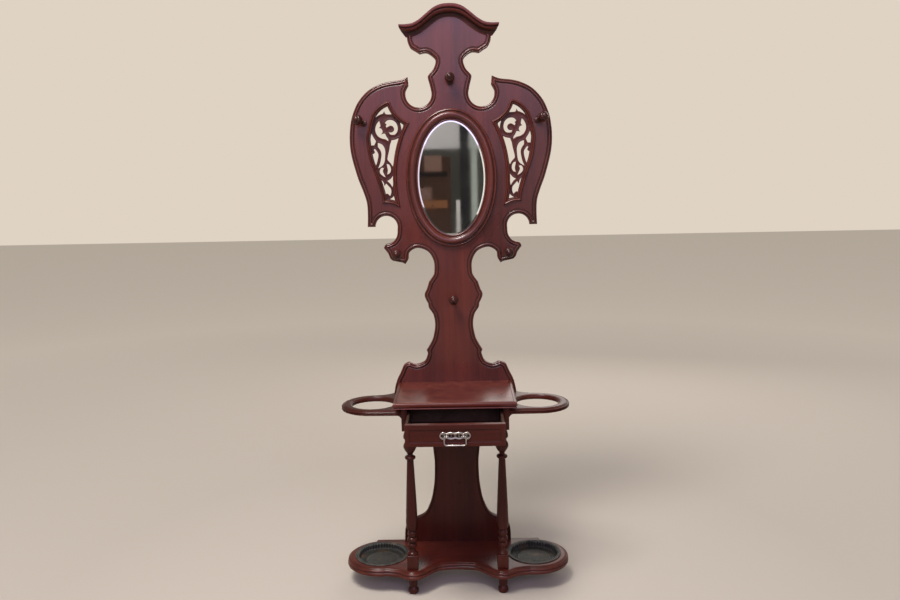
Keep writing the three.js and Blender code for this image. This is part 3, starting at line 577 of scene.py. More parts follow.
def wood(name, dark, light, turn=(0, 0, 0), coat=0.12, polish=(0.24, 0.38), pores=0.5, shine=0.22):
    """Wood under old polish: grain, rubbed edges, grime and painted shade in the hollows, and uneven gloss.
    """
    tree, shader, place, wear = surface(name, coat=coat, coat_roughness=0.16, specular=shine)
    turned_place = node(tree, "Mapping", [("Vector", place), ("Rotation", turn)]).outputs[0]
    tone = node(tree, "Attribute", attribute_name="tone").outputs["Fac"]
    apart = node(tree, "CombineXYZ", [(0, times(tree, tone, 9.0))]).outputs[0]
    own_place = node(tree, "VectorMath", [(0, turned_place), (1, apart)], operation="ADD").outputs[0]
    settings = [("Place", own_place), ("Dark", (*dark, 1)), ("Light", (*light, 1)), ("Pores", pores)]
    grain = node(tree, "Group", settings, node_tree=bpy.data.node_groups["figured grain"])
    bare = (light[0] * 1.8, light[1] * 2.8, light[2] * 2.6, 1)
    worn = blend(tree, times(tree, wear["Rubbed"], 0.45), grain.outputs["Colour"], bare)
    toned = blend(tree, ramp(tree, tone, 0, 1, 0.0, 0.2), worn, (*dark, 1))
    # Hollows go towards near black (0.008, 0.003, 0.002): grime, and painted shade.
    dirty_and_shaded = blend(tree, times(tree, wear["Grime and shade"], 0.8), toned, (0.008, 0.003, 0.002, 1))
    rough = added(tree, ramp(tree, wear["Cloud"], 0, 1, *polish), times(tree, wear["Grime and shade"], 0.25))
    connect(tree, shader, dirty_and_shaded, rough, grain.outputs["Height"], 0.12, 0.0004)


def connect(tree, shader, colour, roughness, height=None, strength=0.0, distance=0.0):
    """Joins colour, roughness and, where there is a height, its bump to the shader."""
    tree.links.new(colour, shader.inputs["Base Color"])
    tree.links.new(roughness, shader.inputs["Roughness"])
    if height is not None:
        bump = node(tree, "Bump", [("Height", height), ("Strength", strength), ("Distance", distance)])
        tree.links.new(bump.outputs[0], shader.inputs["Normal"])


def shade(colour, share):
    """A colour darkened to a share of itself."""
    return [c * share for c in colour]


def make_mahogany(dark, light):
    """The mahogany finishes, all from the same two colours, with darker copies for painted shade, and the
    plain lining of the drawer.
    """
    wood("polished mahogany, upright", dark, light, shine=0.42)
    wood("polished mahogany, across", dark, light, turn=ALONG_X)
    # The same mahogany at 0.6 of its colour: painted shade for the lower parts, which the lamps light less.
    for name, turn in (("painted-shade mahogany, upright", (0, 0, 0)), ("painted-shade mahogany, across", ALONG_X)):
        wood(name, shade(dark, 0.6), shade(light, 0.6), turn=turn, coat=0.08, shine=0.14)
    wood("carved mahogany", shade(dark, 0.75), shade(light, 0.8), polish=(0.26, 0.46))
    wood("turned mahogany", shade(dark, 0.45), shade(light, 0.45), polish=(0.2, 0.36))
    # The lining is a dark plain wood; its darkness is partly painted shade inside the drawer and the case.
    wood("drawer lining", (0.022, 0.010, 0.007), (0.060, 0.028, 0.018), turn=ALONG_Y, coat=0.0,
         polish=(0.55, 0.75), pores=0.3)


def make_glass():
    """Old mirror: silver with a faint haze and small foxed specks."""
    tree, shader, place, _ = surface("silvered glass", metallic=1.0)
    haze = ramp(tree, noise(tree, place, 9, EVENLY, 3), 0.3, 0.75, 0.015, 0.05)
    foxed = ramp(tree, noise(tree, place, 60, EVENLY, 5), 0.66, 0.74)
    silver = blend(tree, foxed, (0.80, 0.83, 0.82, 1), (0.30, 0.26, 0.21, 1))
    connect(tree, shader, silver, haze)


def make_iron():
    """Cast iron: a sandy skin with patches of rust, brighter where it is rubbed."""
    tree, shader, place, wear = surface("cast iron", metallic=0.35, specular=0.3)
    speck = ramp(tree, noise(tree, place, 130, EVENLY, 5, 0.7), 0.3, 0.75)
    rust = ramp(tree, noise(tree, place, 24, EVENLY, 5), 0.55, 0.72)
    iron = blend(tree, speck, (0.010, 0.010, 0.009, 1), (0.046, 0.044, 0.037, 1))
    iron = blend(tree, times(tree, rust, 0.55), iron, (0.11, 0.055, 0.025, 1))
    iron = blend(tree, times(tree, wear["Rubbed"], 0.5), iron, (0.20, 0.21, 0.19, 1))
    connect(tree, shader, iron, ramp(tree, speck, 0, 1, 0.62, 0.4), speck, 0.35, 0.0008)


def make_nickel():
    """Old nickel plate: dull in patches, dark in its hollows."""
    tree, shader, place, wear = surface("old nickel", metallic=1.0)
    dull = ramp(tree, noise(tree, place, 90, EVENLY, 4), 0.35, 0.7)
    metal = blend(tree, dull, (0.50, 0.475, 0.44, 1), (0.30, 0.275, 0.25, 1))
    metal = blend(tree, times(tree, wear["Grime and shade"], 0.9), metal, (0.05, 0.035, 0.03, 1))
    connect(tree, shader, metal, ramp(tree, dull, 0, 1, 0.22, 0.45))


def make_finishes(colours):
    """The two shared node groups, and every material."""
    figured_grain()
    age_wear_and_shade()
    make_mahogany(colours.wood_dark, colours.wood_light)
    make_glass()
    make_iron()
    make_nickel()


# ------------------------------------------------------------------ the back

# Drawn outlines: across from the middle, and up from the table top. A notch is a circle: its centre
# and its radius.
NOTCH_HIGH = (121, 1132, 50)
NOTCH_LOW = (259, 624, 44)

CREST_TOP = [
    (0, 1460), (28, 1457.5), (55, 1447.5), (82, 1428), (110, 1405.5), (137, 1391), (163, 1387),
    (190, 1387),
]
CREST_SIDE = [(160, 1342), (158, 1327), (153, 1313), (146, 1302), (130, 1292), (113, 1281)]
NECK_HIGH = [
    (113, 1281), (85, 1284), (58, 1265), (53, 1250), (62, 1225), (80, 1204), (84, 1193), (76, 1161),
    (73, 1146),
]
WING_TIP = [(170, 1142), (165, 1152), (158, 1164)]
WING_EDGE = [
    (161, 1197), (190, 1186), (237, 1180), (277, 1169), (317, 1147), (352, 1110), (373, 1070),
    (386, 1027), (392, 965), (387, 903), (366, 820), (346, 765), (333, 720), (331, 671), (333, 626),
]
EAR_TOP = [(215.7, 616), (217, 596), (223, 580), (234, 567), (249, 560), (264, 556), (272, 542)]
EAR_SIDE = [(272, 542), (262, 529), (254, 517), (248, 501), (238, 491)]
EAR_FOOT = [(238, 491), (220, 487), (200, 483), (188, 477)]
ARMPIT = [
    (188, 477), (176, 497), (171, 523), (140, 540), (98, 525), (76, 487), (75, 442), (82, 425), (97, 404),
]
LOZENGE = [(97, 404), (106, 376), (114, 360), (115, 348), (110, 333), (102, 318)]
NECK_LOW = [(102, 318), (99, 300), (82, 272), (76, 230), (84, 182), (94, 158), (112, 128)]
SHOULDER_TOP = [
    (112, 128), (108, 115), (117, 88), (131, 77), (150, 71), (166, 74), (181, 80), (198, 74), (207, 66),
]
SHOULDER_SIDE = [(207, 66), (220, 36), (234, 8), (243, -23), (249, -64)]
WINDOW_SIDE = [
    (243, 1092), (264, 1081), (282, 1064), (296, 1040), (312, 980), (313, 950), (303, 885), (280, 820),
    (260, 750), (258, 732),
]
WINDOW_TO_NOTCHES = (76, 63)  # from the upper and the lower notch
WINDOW_TO_MIRROR = (49, 67)  # from the mirror's frame, across and up
FRET_REBATE = 6.5  # width of the board's step behind the window
SHOULDERS_UNDER, CREST_OVER = 250, 1230  # where the shoulder boards end and the crest blocks begin
CREST_RETURN = 172  # how far out the crest's outline goes
CREST_COVER = 4  # board that the crest moulding hides
STEP = 4  # between points along an outline
CORNER = 0.93  # cosine between edges, under which a corner gets a fan of points
FAN = 7  # points in it
SLACK = 0.25  # how much nearer another edge may be
SEAM_PAST = 9  # how far a seam's line is drawn past the boards

# How the front of a board falls towards its shaped edge: way in from the edge, depth.
EDGE_MOULDING = [
    (0, 5.5), (0.7, 2.6), (2, 0.9), (4, 0.1), (5.2, 0.6), (6, 1.9), (6.8, 0.2), (8, -1.7), (10, -2.9),
    (12, -2.9), (13.8, -1.8), (15, 0.2), (15.8, 1.8), (17.2, 1.9), (18.4, 0.7), (20, 0), (21.5, 0),
    (24, 0),
]
# How proud that moulding stands at each way in, for the wear, and for the grime and painted shade in its
# hollows.
EDGE_PROUD = [
    (0, 0.85), (1.5, 0.62), (4, 0.5), (5, 0.3), (6, 0.12), (7, 0.35), (9, 0.6), (11, 0.72), (13, 0.6),
    (14.6, 0.35), (15.8, 0.1), (17.4, 0.15), (19, 0.42), (21, 0.5),
]


def drawn(points):
    """A drawn curve as even steps."""
    return even(smooth(points), STEP)


def back_loop():
    """The outline of the whole back, down to the case's underside."""
    top = smooth(CREST_TOP)
    top = np.vstack([top[top[:, 0] < CREST_RETURN], [CREST_RETURN, CREST_TOP[-1][1]]]) - [0, CREST_COVER]
    lower = (EAR_TOP, EAR_SIDE, EAR_FOOT, ARMPIT, LOZENGE, NECK_LOW, SHOULDER_TOP, SHOULDER_SIDE)
    half = placed(np.vstack([
        even(top, STEP), drawn(CREST_SIDE), drawn(NECK_HIGH), arc(*NOTCH_HIGH, 164, 372), drawn(WING_TIP),
        drawn(WING_EDGE), arc(*NOTCH_LOW, 2, 190), *(drawn(points) for points in lower),
    ]))
    foot = [[CASE_X - GAP, half[-1][1]], [CASE_X - GAP, CASE_Z]]
    return both_halves(join(half, foot))


def crossing(curve, start, end, gap=3):
    """The stretch of a curve between its places nearest to two points, closed up to them."""
    a, b = (((curve - p) ** 2).sum(1).argmin() for p in (start, end))
    run = curve[a + 1 : b] if a < b else curve[b + 1 : a][::-1]
    return even(np.vstack([start, run, end]), gap)


def meeting(first, second, skip=8):
    """The point of the first curve that is nearest to the second, out of every few."""
    apart = ((first[::skip, None] - second[None, ::skip]) ** 2).sum(2).min(1)
    return first[apart.argmin() * skip]


def window_loop():
    """The fret window: beside the mirror, under the upper notch, down the drawn outer side and over
    the lower notch; each corner is where two of these cross."""
    fine = 0.1
    half = FRAME_HALF + WINDOW_TO_MIRROR
    a = np.radians(np.linspace(-25, 50, 3000))
    beside = np.stack([half[0] * np.cos(a), MIRROR_Z + half[1] * np.sin(a)], 1)
    (x, z, r), margin = NOTCH_HIGH, WINDOW_TO_NOTCHES[0]
    high = placed(arc(x, z, r + margin, -75, -10, fine))
    (x, z, r), margin = NOTCH_LOW, WINDOW_TO_NOTCHES[1]
    low = placed(arc(x, z, r + margin, 80, 130, fine))
    side = even(placed(smooth([(240.5, 1092), *WINDOW_SIDE, (258, 731)], 60)), fine)
    top, bottom = meeting(beside, high), meeting(beside, low)
    return join(crossing(beside, bottom, top), crossing(high, top, side[0]),
                crossing(side, side[0], side[-1]), crossing(low, side[-1], bottom))


def ring_points(loop, widths):
    """Points at set ways in from a loop (or out, below zero), with a fan at each corner, kept where
    no other edge is nearer."""
    mitre, normal, before = turning(loop)
    bend = (normal * before).sum(1) < CORNER
    share = np.linspace(0, 1, FAN)[:, None, None]
    fan = before[bend] * (1 - share) + normal[bend] * share
    fan /= np.linalg.norm(fan, axis=2, keepdims=True)
    at = np.vstack([loop, np.tile(loop[bend], (FAN, 1))])
    way = np.vstack([mitre / np.linalg.norm(mitre, axis=1, keepdims=True), fan.reshape(-1, 2)])
    rings = [(at - way * w, abs(w) - SLACK) for w in widths]
    return np.vstack([p[distance(p, loop) > least] for p, least in rings])


def board(flat, front, tris, zones, depths, relief_for_wear_and_shade):
    """A board with a shaped front: the front triangles, the same ones turned round at the depth of
    their zone, and walls wherever a triangle's neighbour is missing or less deep."""
    n = len(flat)
    edge = edges_of(tris)
    zone = np.tile(zones, 3)
    key, other = edge[:, 0] * n + edge[:, 1], edge[:, 1] * n + edge[:, 0]
    order = np.argsort(key)
    at = np.clip(np.searchsorted(key[order], other), 0, len(key) - 1)
    near = np.where(key[order][at] == other, zone[order][at], -1)
    layers = [np.column_stack([flat[:, 0], front, flat[:, 1]])]
    layers += [np.column_stack([flat[:, 0], np.full(n, d), flat[:, 1]]) for d in depths]
    back = tris[:, ::-1] + ((zones + 1) * n)[:, None]
    a, b, z = edge[:, 0], edge[:, 1], (zone + 1) * n
    open_edge = near < 0
    wall = np.stack([b, a, a + z, b + z], 1)[open_edge]
    depth = np.asarray(depths, float)
    step = (near >= 0) & (depth[zone] > depth[np.maximum(near, 0)])
    start = (near + 1) * n
    ledge = np.stack([b + start, a + start, a + z, b + z], 1)[step]
    verts = np.vstack(layers)
    faces = [tris, back, np.vstack([wall, ledge])]
    used = np.unique(np.concatenate([f.ravel() for f in faces]))
    index = np.zeros(len(verts), int)
    index[used] = np.arange(len(used))
    worn = np.r_[relief_for_wear_and_shade, np.full(n * len(depths), 0.5)]
    return verts[used], [index[f] for f in faces], worn[used]


def make_back():
    """The seven boards of the back, each cut from one moulded front."""
    outline, window = back_loop(), window_loop()
    windows = [window, (window * [-1, 1])[::-1]]
    lip = span("fret_panel_right")[0][1] - GAP
    rebates = [w + turning(w)[0] * (FRET_REBATE + GAP) for w in windows]
    widths, depths = np.array(EDGE_MOULDING).T
    ends = np.array([CASE_Z - SEAM_PAST, TOP_Z + SEAM_PAST])
    lines = [even(np.column_stack([[s * x] * 2, ends]), 3) for s in (-1, 1) for x in (SEAM_X, SIDE_X)]
    flat, tris = triangulate([outline, *windows, *rebates], ring_points(outline, widths[1:]), lines)
    way = distance(flat, outline)
    front, relief_for_wear_and_shade = np.interp(way, widths, depths), np.interp(way, *np.array(EDGE_PROUD).T)
    middle = flat[tris].mean(1)
    solid = inside(middle, outline)
    zones = np.zeros(len(tris), int)
    for hole, wide in zip(windows, rebates):
        solid &= ~inside(middle, hole)
        zones[inside(middle, wide)] = 1
    low, high = placed([(0, SHOULDERS_UNDER), (0, CREST_OVER)])[:, 1]
    bands = {"crest": middle[:, 1] > high, "wing": (middle[:, 1] > low) & (middle[:, 1] < high),
             "shoulder": middle[:, 1] < low}
    boards = {"centre": ("back_centre_board", np.abs(middle[:, 0]) < SEAM_X)}
    stems = {"crest": "crest_block", "wing": "back_wing", "shoulder": "back_shoulder"}
    for side, sign in SIDES.items():
        for kind, stem in stems.items():
            beyond = middle[:, 0] * sign > SIDE_X
            boards[f"{kind}_{side}"] = f"{stem}_{side}", beyond & bands[kind]
    for name, (stands_for, keep) in boards.items():
        pick = keep & solid
        part = board(flat, front, tris[pick], zones[pick], [BOARD, lip], relief_for_wear_and_shade)
        put(f"board_{name}", [part], "stand", "polished mahogany, upright", [stands_for])


# ------------------------------------------------------------------ windows and frets

# Openings of the fret, drawn like the back; a corner is given twice.
FRET_OPENINGS = [
    [(226, 1059), (226, 1059), (233, 1074), (243, 1091), (243, 1091), (258, 1084), (275, 1070), (289, 1054),
     (300, 1039), (300, 1039), (284, 1052), (268, 1060), (261, 1062), (256, 1071), (256, 1071), (251, 1061),
     (240, 1059)],
    [(183, 1018), (183, 1018), (196, 1028), (196, 1028), (192, 1012), (190, 996), (190, 996), (185, 1006)],
    [(254, 1027), (254, 1027), (247, 1035), (236, 1038), (222, 1035), (210, 1024), (205, 1008), (207, 993),
     (215, 983), (227, 981), (236, 984), (238, 991), (238, 991), (230, 990), (222, 995), (219, 1004),
     (224, 1013), (233, 1016), (241, 1013), (248, 1008), (248, 1008), (251, 1015), (248, 1020), (248, 1020)],
    [(276, 1035), (276, 1035), (285, 1025), (291, 1011), (292, 997), (287, 983), (278, 973), (265, 967),
     (253, 964), (243, 957), (243, 957), (243, 964), (250, 975), (256, 986), (269, 984), (269, 984),
     (264, 993), (268, 1004), (278, 1008), (278, 1008), (272, 1014), (273, 1024)],
    [(310, 996), (310, 996), (314, 975), (315, 950), (315, 940), (315, 940), (306, 942), (298, 942),
     (298, 942), (293, 952), (291, 958), (291, 958), (300, 972), (306, 984)],
    [(203, 968), (203, 968), (215, 963), (230, 960), (230, 960), (236, 945), (240, 925), (245, 905),
     (248, 888), (243, 880), (236, 872), (228, 859), (228, 859), (222, 885), (214, 920), (207, 950)],
    [(284, 951), (284, 951), (272, 947), (262, 938), (256, 921), (257, 899), (260, 878), (268, 864),
     (286, 853), (286, 853), (277, 874), (271, 904), (274, 921), (284, 936), (284, 936)],
    [(297, 929), (297, 929), (290, 921), (283, 905), (289, 876), (297, 856), (297, 856), (302, 868),
     (308, 890), (313, 911), (313, 911), (303, 909), (297, 914), (298, 921), (301, 924), (301, 924)],
    [(252, 869), (252, 869), (243, 867), (237, 857), (236, 845), (241, 834), (252, 830), (252, 830),
     (249, 838), (248, 848), (250, 858)],
    [(263, 853), (263, 853), (272, 855), (279, 846), (278, 834), (268, 824), (257, 818), (257, 818),
     (262, 828), (267, 840), (266, 848)],
    [(229, 824), (229, 824), (238, 812), (251, 804), (251, 804), (240, 793), (231, 779), (231, 779),
     (228, 800)],
    [(286, 819), (286, 819), (276, 796), (268, 763), (262, 742), (257, 731), (257, 731), (259, 744),
     (258, 752), (253, 755), (247, 751), (242, 745), (242, 745), (237, 758), (238, 773), (246, 783),
     (256, 794), (256, 794), (263, 785), (263, 785), (266, 798), (275, 810)],
    [(227, 746), (227, 746), (233, 739), (243, 733), (243, 733), (233, 729), (222, 724), (222, 724),
     (225, 735)],
]

FRET_BORDER = 3  # plain band inside the window's edge, not carved or pierced

# How far the fret's front falls, and how proud it stands, at each way from an opening.
FRET_CARVING = [
    (0, 1.4, 0.85), (0.5, 0.6, 0.7), (1.4, 0.1, 0.58), (2.8, 0, 0.5), (4.2, 0.4, 0.4), (6, 0.9, 0.36),
    (9, 1.1, 0.4),
]
# Round the window, from its edge outward: way out, depth.
WINDOW_BEAD = [
    (0.2, -0.3), (0.2, -3.2), (1.4, -4.3), (3.2, -4.4), (4.2, -3.4), (5.2, -5.2), (6.6, -7.1), (8.6, -8),
    (10.4, -7.4), (11.6, -5.8), (12.3, -4.0), (13, -2.6), (13, -0.3),
]


def make_frets():
    """Window mouldings, and behind them the pierced panels: each point of a panel's front falls by
    the carving's depth at its way from the nearest opening."""
    window = window_loop()
    low, high = span("fret_panel_right")
    mitre = turning(window)[0]
    rim, sight = window + mitre * FRET_REBATE, window - mitre * FRET_BORDER
    openings = [join(placed(smooth([*loop, loop[0]], 5))) for loop in FRET_OPENINGS]
    widths, depths, heights = np.array(FRET_CARVING).T
    worked = np.vstack([ring_points(loop, -widths[1:]) for loop in openings])
    worked = worked[inside(worked, rim) & (distance(worked, rim) > 1)]
    flat, tris = triangulate([rim, sight, *openings], worked)
    middle = flat[tris].mean(1)
    cut = np.any([inside(middle, loop) for loop in openings], 0) & inside(middle, sight)
    way = np.min([distance(flat, loop) for loop in openings], 0)
    front = low[1] + np.interp(way, widths, depths) * inside(flat, sight)
    keep = tris[inside(middle, rim) & ~cut]
    panel = board(flat, front, keep, np.zeros(len(keep), int), [high[1]], np.interp(way, widths, heights))
    bead = skin(carried(window, WINDOW_BEAD))
    for side, sign in SIDES.items():
        moulding, fret = handed([bead], sign), handed([panel], sign)
        put(f"window_bead_{side}", moulding, "stand", "carved mahogany", [f"window_moulding_{side}"])
        put(f"fret_{side}", fret, "stand", "carved mahogany", [f"fret_panel_{side}"], 40)


# ------------------------------------------------------------------ crest

# The crest's arrises from the top down, drawn from the middle out.
CREST_LINES = [
    CREST_TOP,
    [(0, 1446), (28, 1443.5), (55, 1433.5), (82, 1413.5), (110, 1391.5), (137, 1378), (163, 1374.5),
     (189, 1378)],
    [(0, 1428), (27, 1425.5), (53, 1416), (80, 1397), (108, 1376), (134, 1363), (159, 1360), (181, 1364)],
    [(0, 1415), (26, 1411.5), (50, 1399), (75, 1380), (99, 1363), (122, 1350.5), (144, 1344), (164, 1342)],
]
# Down the crest's front: line above, share of the way to the line below it, share of the projection,
# and a set relief for the wear that also paints shade: the groove under the fillet and the band under
# the cyma come out dark, a painted shadow that is darkest at the cyma and fades down to the board.
CREST_SECTION = [
    (0, 0, 0.01, 0.5), (0, 0, 0.5, 0.5), (0, 0, 0.93, 0.62), (0, 0.06, 0.985, 0.7), (0, 0.2, 1, 0.6),
    (0, 0.7, 1, 0.5), (0, 0.85, 0.985, 0.6), (0, 0.95, 0.94, 0.6), (0, 1, 0.8, 0.2), (1, 0.06, 0.7, 0.0),
    (1, 0.16, 0.7, 0.0), (1, 0.24, 0.8, 0.3), (1, 0.36, 0.84, 0.56), (1, 0.52, 0.8, 0.5),
    (1, 0.68, 0.7, 0.42), (1, 0.84, 0.6, 0.3), (1, 0.95, 0.52, 0.2), (2, 0, 0.42, 0.05),
    (2, 0.04, 0.2, 0.0), (2, 0.3, 0.12, 0.03), (2, 0.55, 0.08, 0.18), (2, 0.8, 0.05, 0.36),
    (2, 1, 0.03, 0.5), (2, 1, 0.01, 0.5),
]


def ladder(n):
    """Triangles across a loop of n points, between its first half and its second."""
    k = np.arange(1, n // 2)
    return np.vstack([np.stack([k - 1, k, n - 1 - k], 1), np.stack([k - 1, n - 1 - k, n - k], 1)])


def make_crest():
    """The crest moulding: lines drawn along the crest, and a section that runs from each line to the
    next, mirrored about the middle; its ends turn back to the board."""
    depth = span("crest_moulding")[0][1]
    lines = np.stack([placed(even_by(smooth(p, 10), 60)) for p in CREST_LINES])
    lines = np.concatenate([lines[:, :0:-1] * [-1, 1], lines], 1)
    rows = []
    for line, share, out, _ in CREST_SECTION:
        flat = lines[line] * (1 - share) + lines[min(line + 1, len(CREST_LINES) - 1)] * share
        rows.append(np.column_stack([flat[:, 0], np.full(len(flat), depth * out), flat[:, 1]]))
    grid = np.stack(rows, 1)
    grid[..., 1] = np.minimum(grid[..., 1], -GAP)
    ends = grid[[0, -1]]
    ends[..., 1] = -GAP
    grid = np.concatenate([ends[:1], grid, ends[1:]])
    # The section's set relief paints the groove and the band under the cyma dark: painted shadow.
    relief_for_wear_and_shade = np.tile([row[3] for row in CREST_SECTION], len(grid))
    part = (*skin(grid, True, False, ladder(len(CREST_SECTION))), relief_for_wear_and_shade)
    put("crest_cornice", [part], "stand", "polished mahogany, across", ["crest_moulding"], 30)


# ------------------------------------------------------------------ mirror

# Round the mirror, from the sight edge outward: way out, depth.
MIRROR_SECTION = [
    (0, -9), (0, -11.6), (1, -13), (2.8, -13.6), (4.6, -13), (5.6, -11.6), (6.6, -11.4), (8, -13.2),
    (9.4, -15.8), (11.6, -18.8), (14.6, -21.4), (18.4, -23.2), (22.4, -24), (26.4, -23.4), (29.8, -21.6),
    (32.4, -18.8), (34, -15.6), (34.6, -13.2), (35.6, -12), (37, -12.2), (38.4, -13.8), (40.4, -14.6),
    (42.6, -13.8), (44.4, -11.6), (45.4, -8.6), (46, -5), (46, -0.3), (8, -0.3), (8, -9),
]

# Over the plate from its edge inward: way out, and how far the bevel has fallen from the flat.
GLASS_BEVEL = [(0, 0.85), (-12.8, 0.03), (-13.3, 0)]


def make_mirror():
    """The oval frame, the bevelled plate and the board behind it."""
    wide = max(out for out, _ in MIRROR_SECTION)
    surround = carried(oval(*(FRAME_HALF - wide), 200), MIRROR_SECTION)
    put("mirror_surround", [skin(surround)], "stand", "polished mahogany, upright", ["mirror_frame"], 38)
    half = (GLASS[1] - GLASS[0])[[0, 2]] / 2
    front, back = GLASS[0][1], GLASS[1][1]
    plate = carried(oval(*half, 200), [(0, back), *((out, front + fall) for out, fall in GLASS_BEVEL)])
    put("mirror_plate", [skin(plate, True, False)], "stand", "silvered glass", ["mirror_glass"], 3)
    low, high = span("mirror_backing")
    backboard = carried(oval(*half, 120), [(0, high[1]), (0, low[1])])
    put("mirror_backboard", [skin(backboard, True, False)], "stand", "drawer lining", ["mirror_backing"])


# ------------------------------------------------------------------ hat pegs

# Each kind of peg: where it is drawn, and how far it leans outward and upward, in degrees. The wing
# pegs stand where their CAD pegs do.
PEGS = {"crest": (0, 1177, 0, 14), "neck": (0, 336, 0, 0), "wing": (0, 1026, 30, 14),
        "ear": (219, 520, 0, 0)}
PEG_LENGTH, PEG_FOOT = 64, 11  # length, and radius of the foot
PEG_MIDDLE = 0.34  # share of its length at which an outward peg crosses the middle of its width
PEG_SUNK = 1.2  # how deep a leaning foot is let in, to its own lift
# A turned profile: radius, height.
PEG_PROFILE = [
    (0, 0), (12, 0), (12.8, 1.4), (12.8, 3), (11.6, 4.6), (9, 5.4), (8.2, 6.4), (9.2, 7.8), (9.2, 9),
    (7.4, 10.4), (6.6, 13), (6.4, 18), (6.8, 22), (8, 25), (10, 26.6), (10.4, 28), (9, 29.4), (12, 30.6),
    (15.6, 33), (18, 36.4), (19, 40), (18.8, 43), (17.6, 44.6), (18.4, 46), (18.4, 48.4), (16.8, 52),
    (14, 54.6), (12, 55), (11.6, 56.6), (9.6, 59.2), (6.4, 61.4), (3, 62.7), (0, 63),
]


def make_pegs(sides):
    """Six turned pegs, each tilted as its CAD peg is."""
    spots = {name: PEGS[name] for name in ("crest", "neck")}
    for side in SIDES:
        spots |= {f"{name}_{side}": PEGS[name] for name in ("wing", "ear")}
    for name, (x, z, out, up) in spots.items():
        stem, _, side = name.partition("_")
        x, z = placed([(x, z)])[0]
        sign = SIDES.get(side, 0)
        x = sign * (centre("hat_peg_wing_right")[0] if stem == "wing" else x)
        aside = Matrix.Rotation(math.radians(sign * out), 4, "Z")
        tilt = aside @ Matrix.Rotation(math.radians(90 - up), 4, "X")
        sunk = PEG_FOOT * math.sin(math.radians(max(out, up))) * PEG_SUNK
        seat = x - sign * PEG_LENGTH * math.sin(math.radians(out)) * PEG_MIDDLE
        part = moved(turned(PEG_PROFILE, sides), (seat, -sunk / 2, z), tilt)
        part[0][:, 1] = np.minimum(part[0][:, 1], -GAP)
        put(f"peg_{name}", [part], "stand", "turned mahogany", [f"hat_peg_{name}"], 40)


# ------------------------------------------------------------------ table, case and drawer

# Up the table's edge: way out, height over its underside.
TABLE_EDGE = [
    (-9, 0), (-3, 0), (-1.6, 0.5), (-1, 2), (-1.8, 4), (-4, 5.4), (-4.2, 6.6), (-1.6, 8), (-0.4, 10.4),
    (0, 13.6), (-0.2, 17), (-1.2, 20), (-3, 22.2), (-5.6, 23.4), (-9, 24), (-11.6, 24), (-12.2, 23.2),
    (-13.4, 23.2), (-14, 24),
]


def make_table():
    """The table top with its moulded edge, and the case under it."""
    low, high = span("table_top")
    corners = [(low[0], high[1]), (low[0], low[1]), (high[0], low[1]), (high[0], high[1])]
    runs = [even(np.array(ends, float), 12) for ends in zip(corners, corners[1:])]
    path = np.vstack([runs[0][:1], *(run[1:] for run in runs)])
    section = [(out, low[2] + rise) for out, rise in TABLE_EDGE]
    put("table", [moulded_slab(path, section)], "stand", "polished mahogany, across", ["table_top"])
    # The case sides and rail take the mahogany darkened for painted shade.
    plain, lining = "painted-shade mahogany, across", "drawer lining"
    for side in SIDES:
        case, runner = f"case_side_{side}", f"kicker_{side}"
        put(f"case_{side}", [rounded(*span(case), 2)], "stand", plain, [case])
        put(f"runner_{side}", [rounded(*span(runner), 1)], "stand", lining, [runner])
    put("case_rail", [rounded(*span("drawer_rail"), 1)], "stand", plain, ["drawer_rail"])
    put("case_bottom", [rounded(*span("case_floor"), 1)], "stand", lining, ["case_floor"])
    put("case_rear", [rounded(*span("case_back"), 1)], "stand", lining, ["case_back"])


# Over the drawer's face from its edge inward: inset at the sides, inset at top and foot, depth.
DRAWER_FACE = [
    (0, 0, 20), (0, 0, 1.6), (0.5, 0.5, 0.5), (1.6, 1.6, 0), (12, 15, 0), (13.4, 16.4, 0.2),
    (15.6, 18.6, 1.0), (18, 21, 1.9), (20, 23, 2.2), (23, 26, 2.2),
]

FACE_FOOT = 0.8  # share of that inset at the foot


def make_drawer():
    """The drawer: a fielded front and a plain box behind it."""
    low, high = span("drawer_front")
    rows = []
    for across, along, depth in DRAWER_FACE:
        x0, x1, z0, z1 = low[0] + across, high[0] - across, low[2] + along * FACE_FOOT, high[2] - along
        y = low[1] + depth
        rows.append([(x0, y, z0), (x1, y, z0), (x1, y, z1), (x0, y, z1)])
    face = skin(np.array(rows, float), True, False)
    put("drawer_face", [face], "drawer", "painted-shade mahogany, across", ["drawer_front"], 20)
    for name in ("drawer_side_left", "drawer_side_right", "drawer_back", "drawer_floor"):
        piece = name.replace("drawer", "drawer_box")
        put(piece, [rounded(*span(name), 1)], "drawer", "drawer lining", [name])


# Over the pull's plate from its edge inward: way in, depth. Then from a hole outward: way out,
# further depth, and how proud it stands for the wear.
PULL_EDGE = [(0, 1.3), (0.5, 0.55), (1.1, 0.15), (2.0, 0.0), (3.0, 0.25), (4.2, 0.7)]
PULL_PIERCING = [(0, 0.5, 0.1), (0.8, 0.1, 0.4), (1.6, 0, 0.62)]
PULL_DEEPEST = 1.9
POST_PROFILE = [(0, 0), (5, 0), (5.2, 1), (4.6, 2.2), (3.2, 3.4), (2.8, 5), (3.2, 6.6), (4.4, 8), (5, 10),
                (4.8, 12), (3.8, 14), (2, 14.9), (0, 15)]
ROD = 2.5  # radius of the bail's rod
ROD_SWELL = 0.22  # how much thicker it is in the middle
BAIL_SHOULDER, BAIL_ELBOW = 3, 9  # radii of its bends
BAIL_EYE = 6  # how far its end turns in past the post


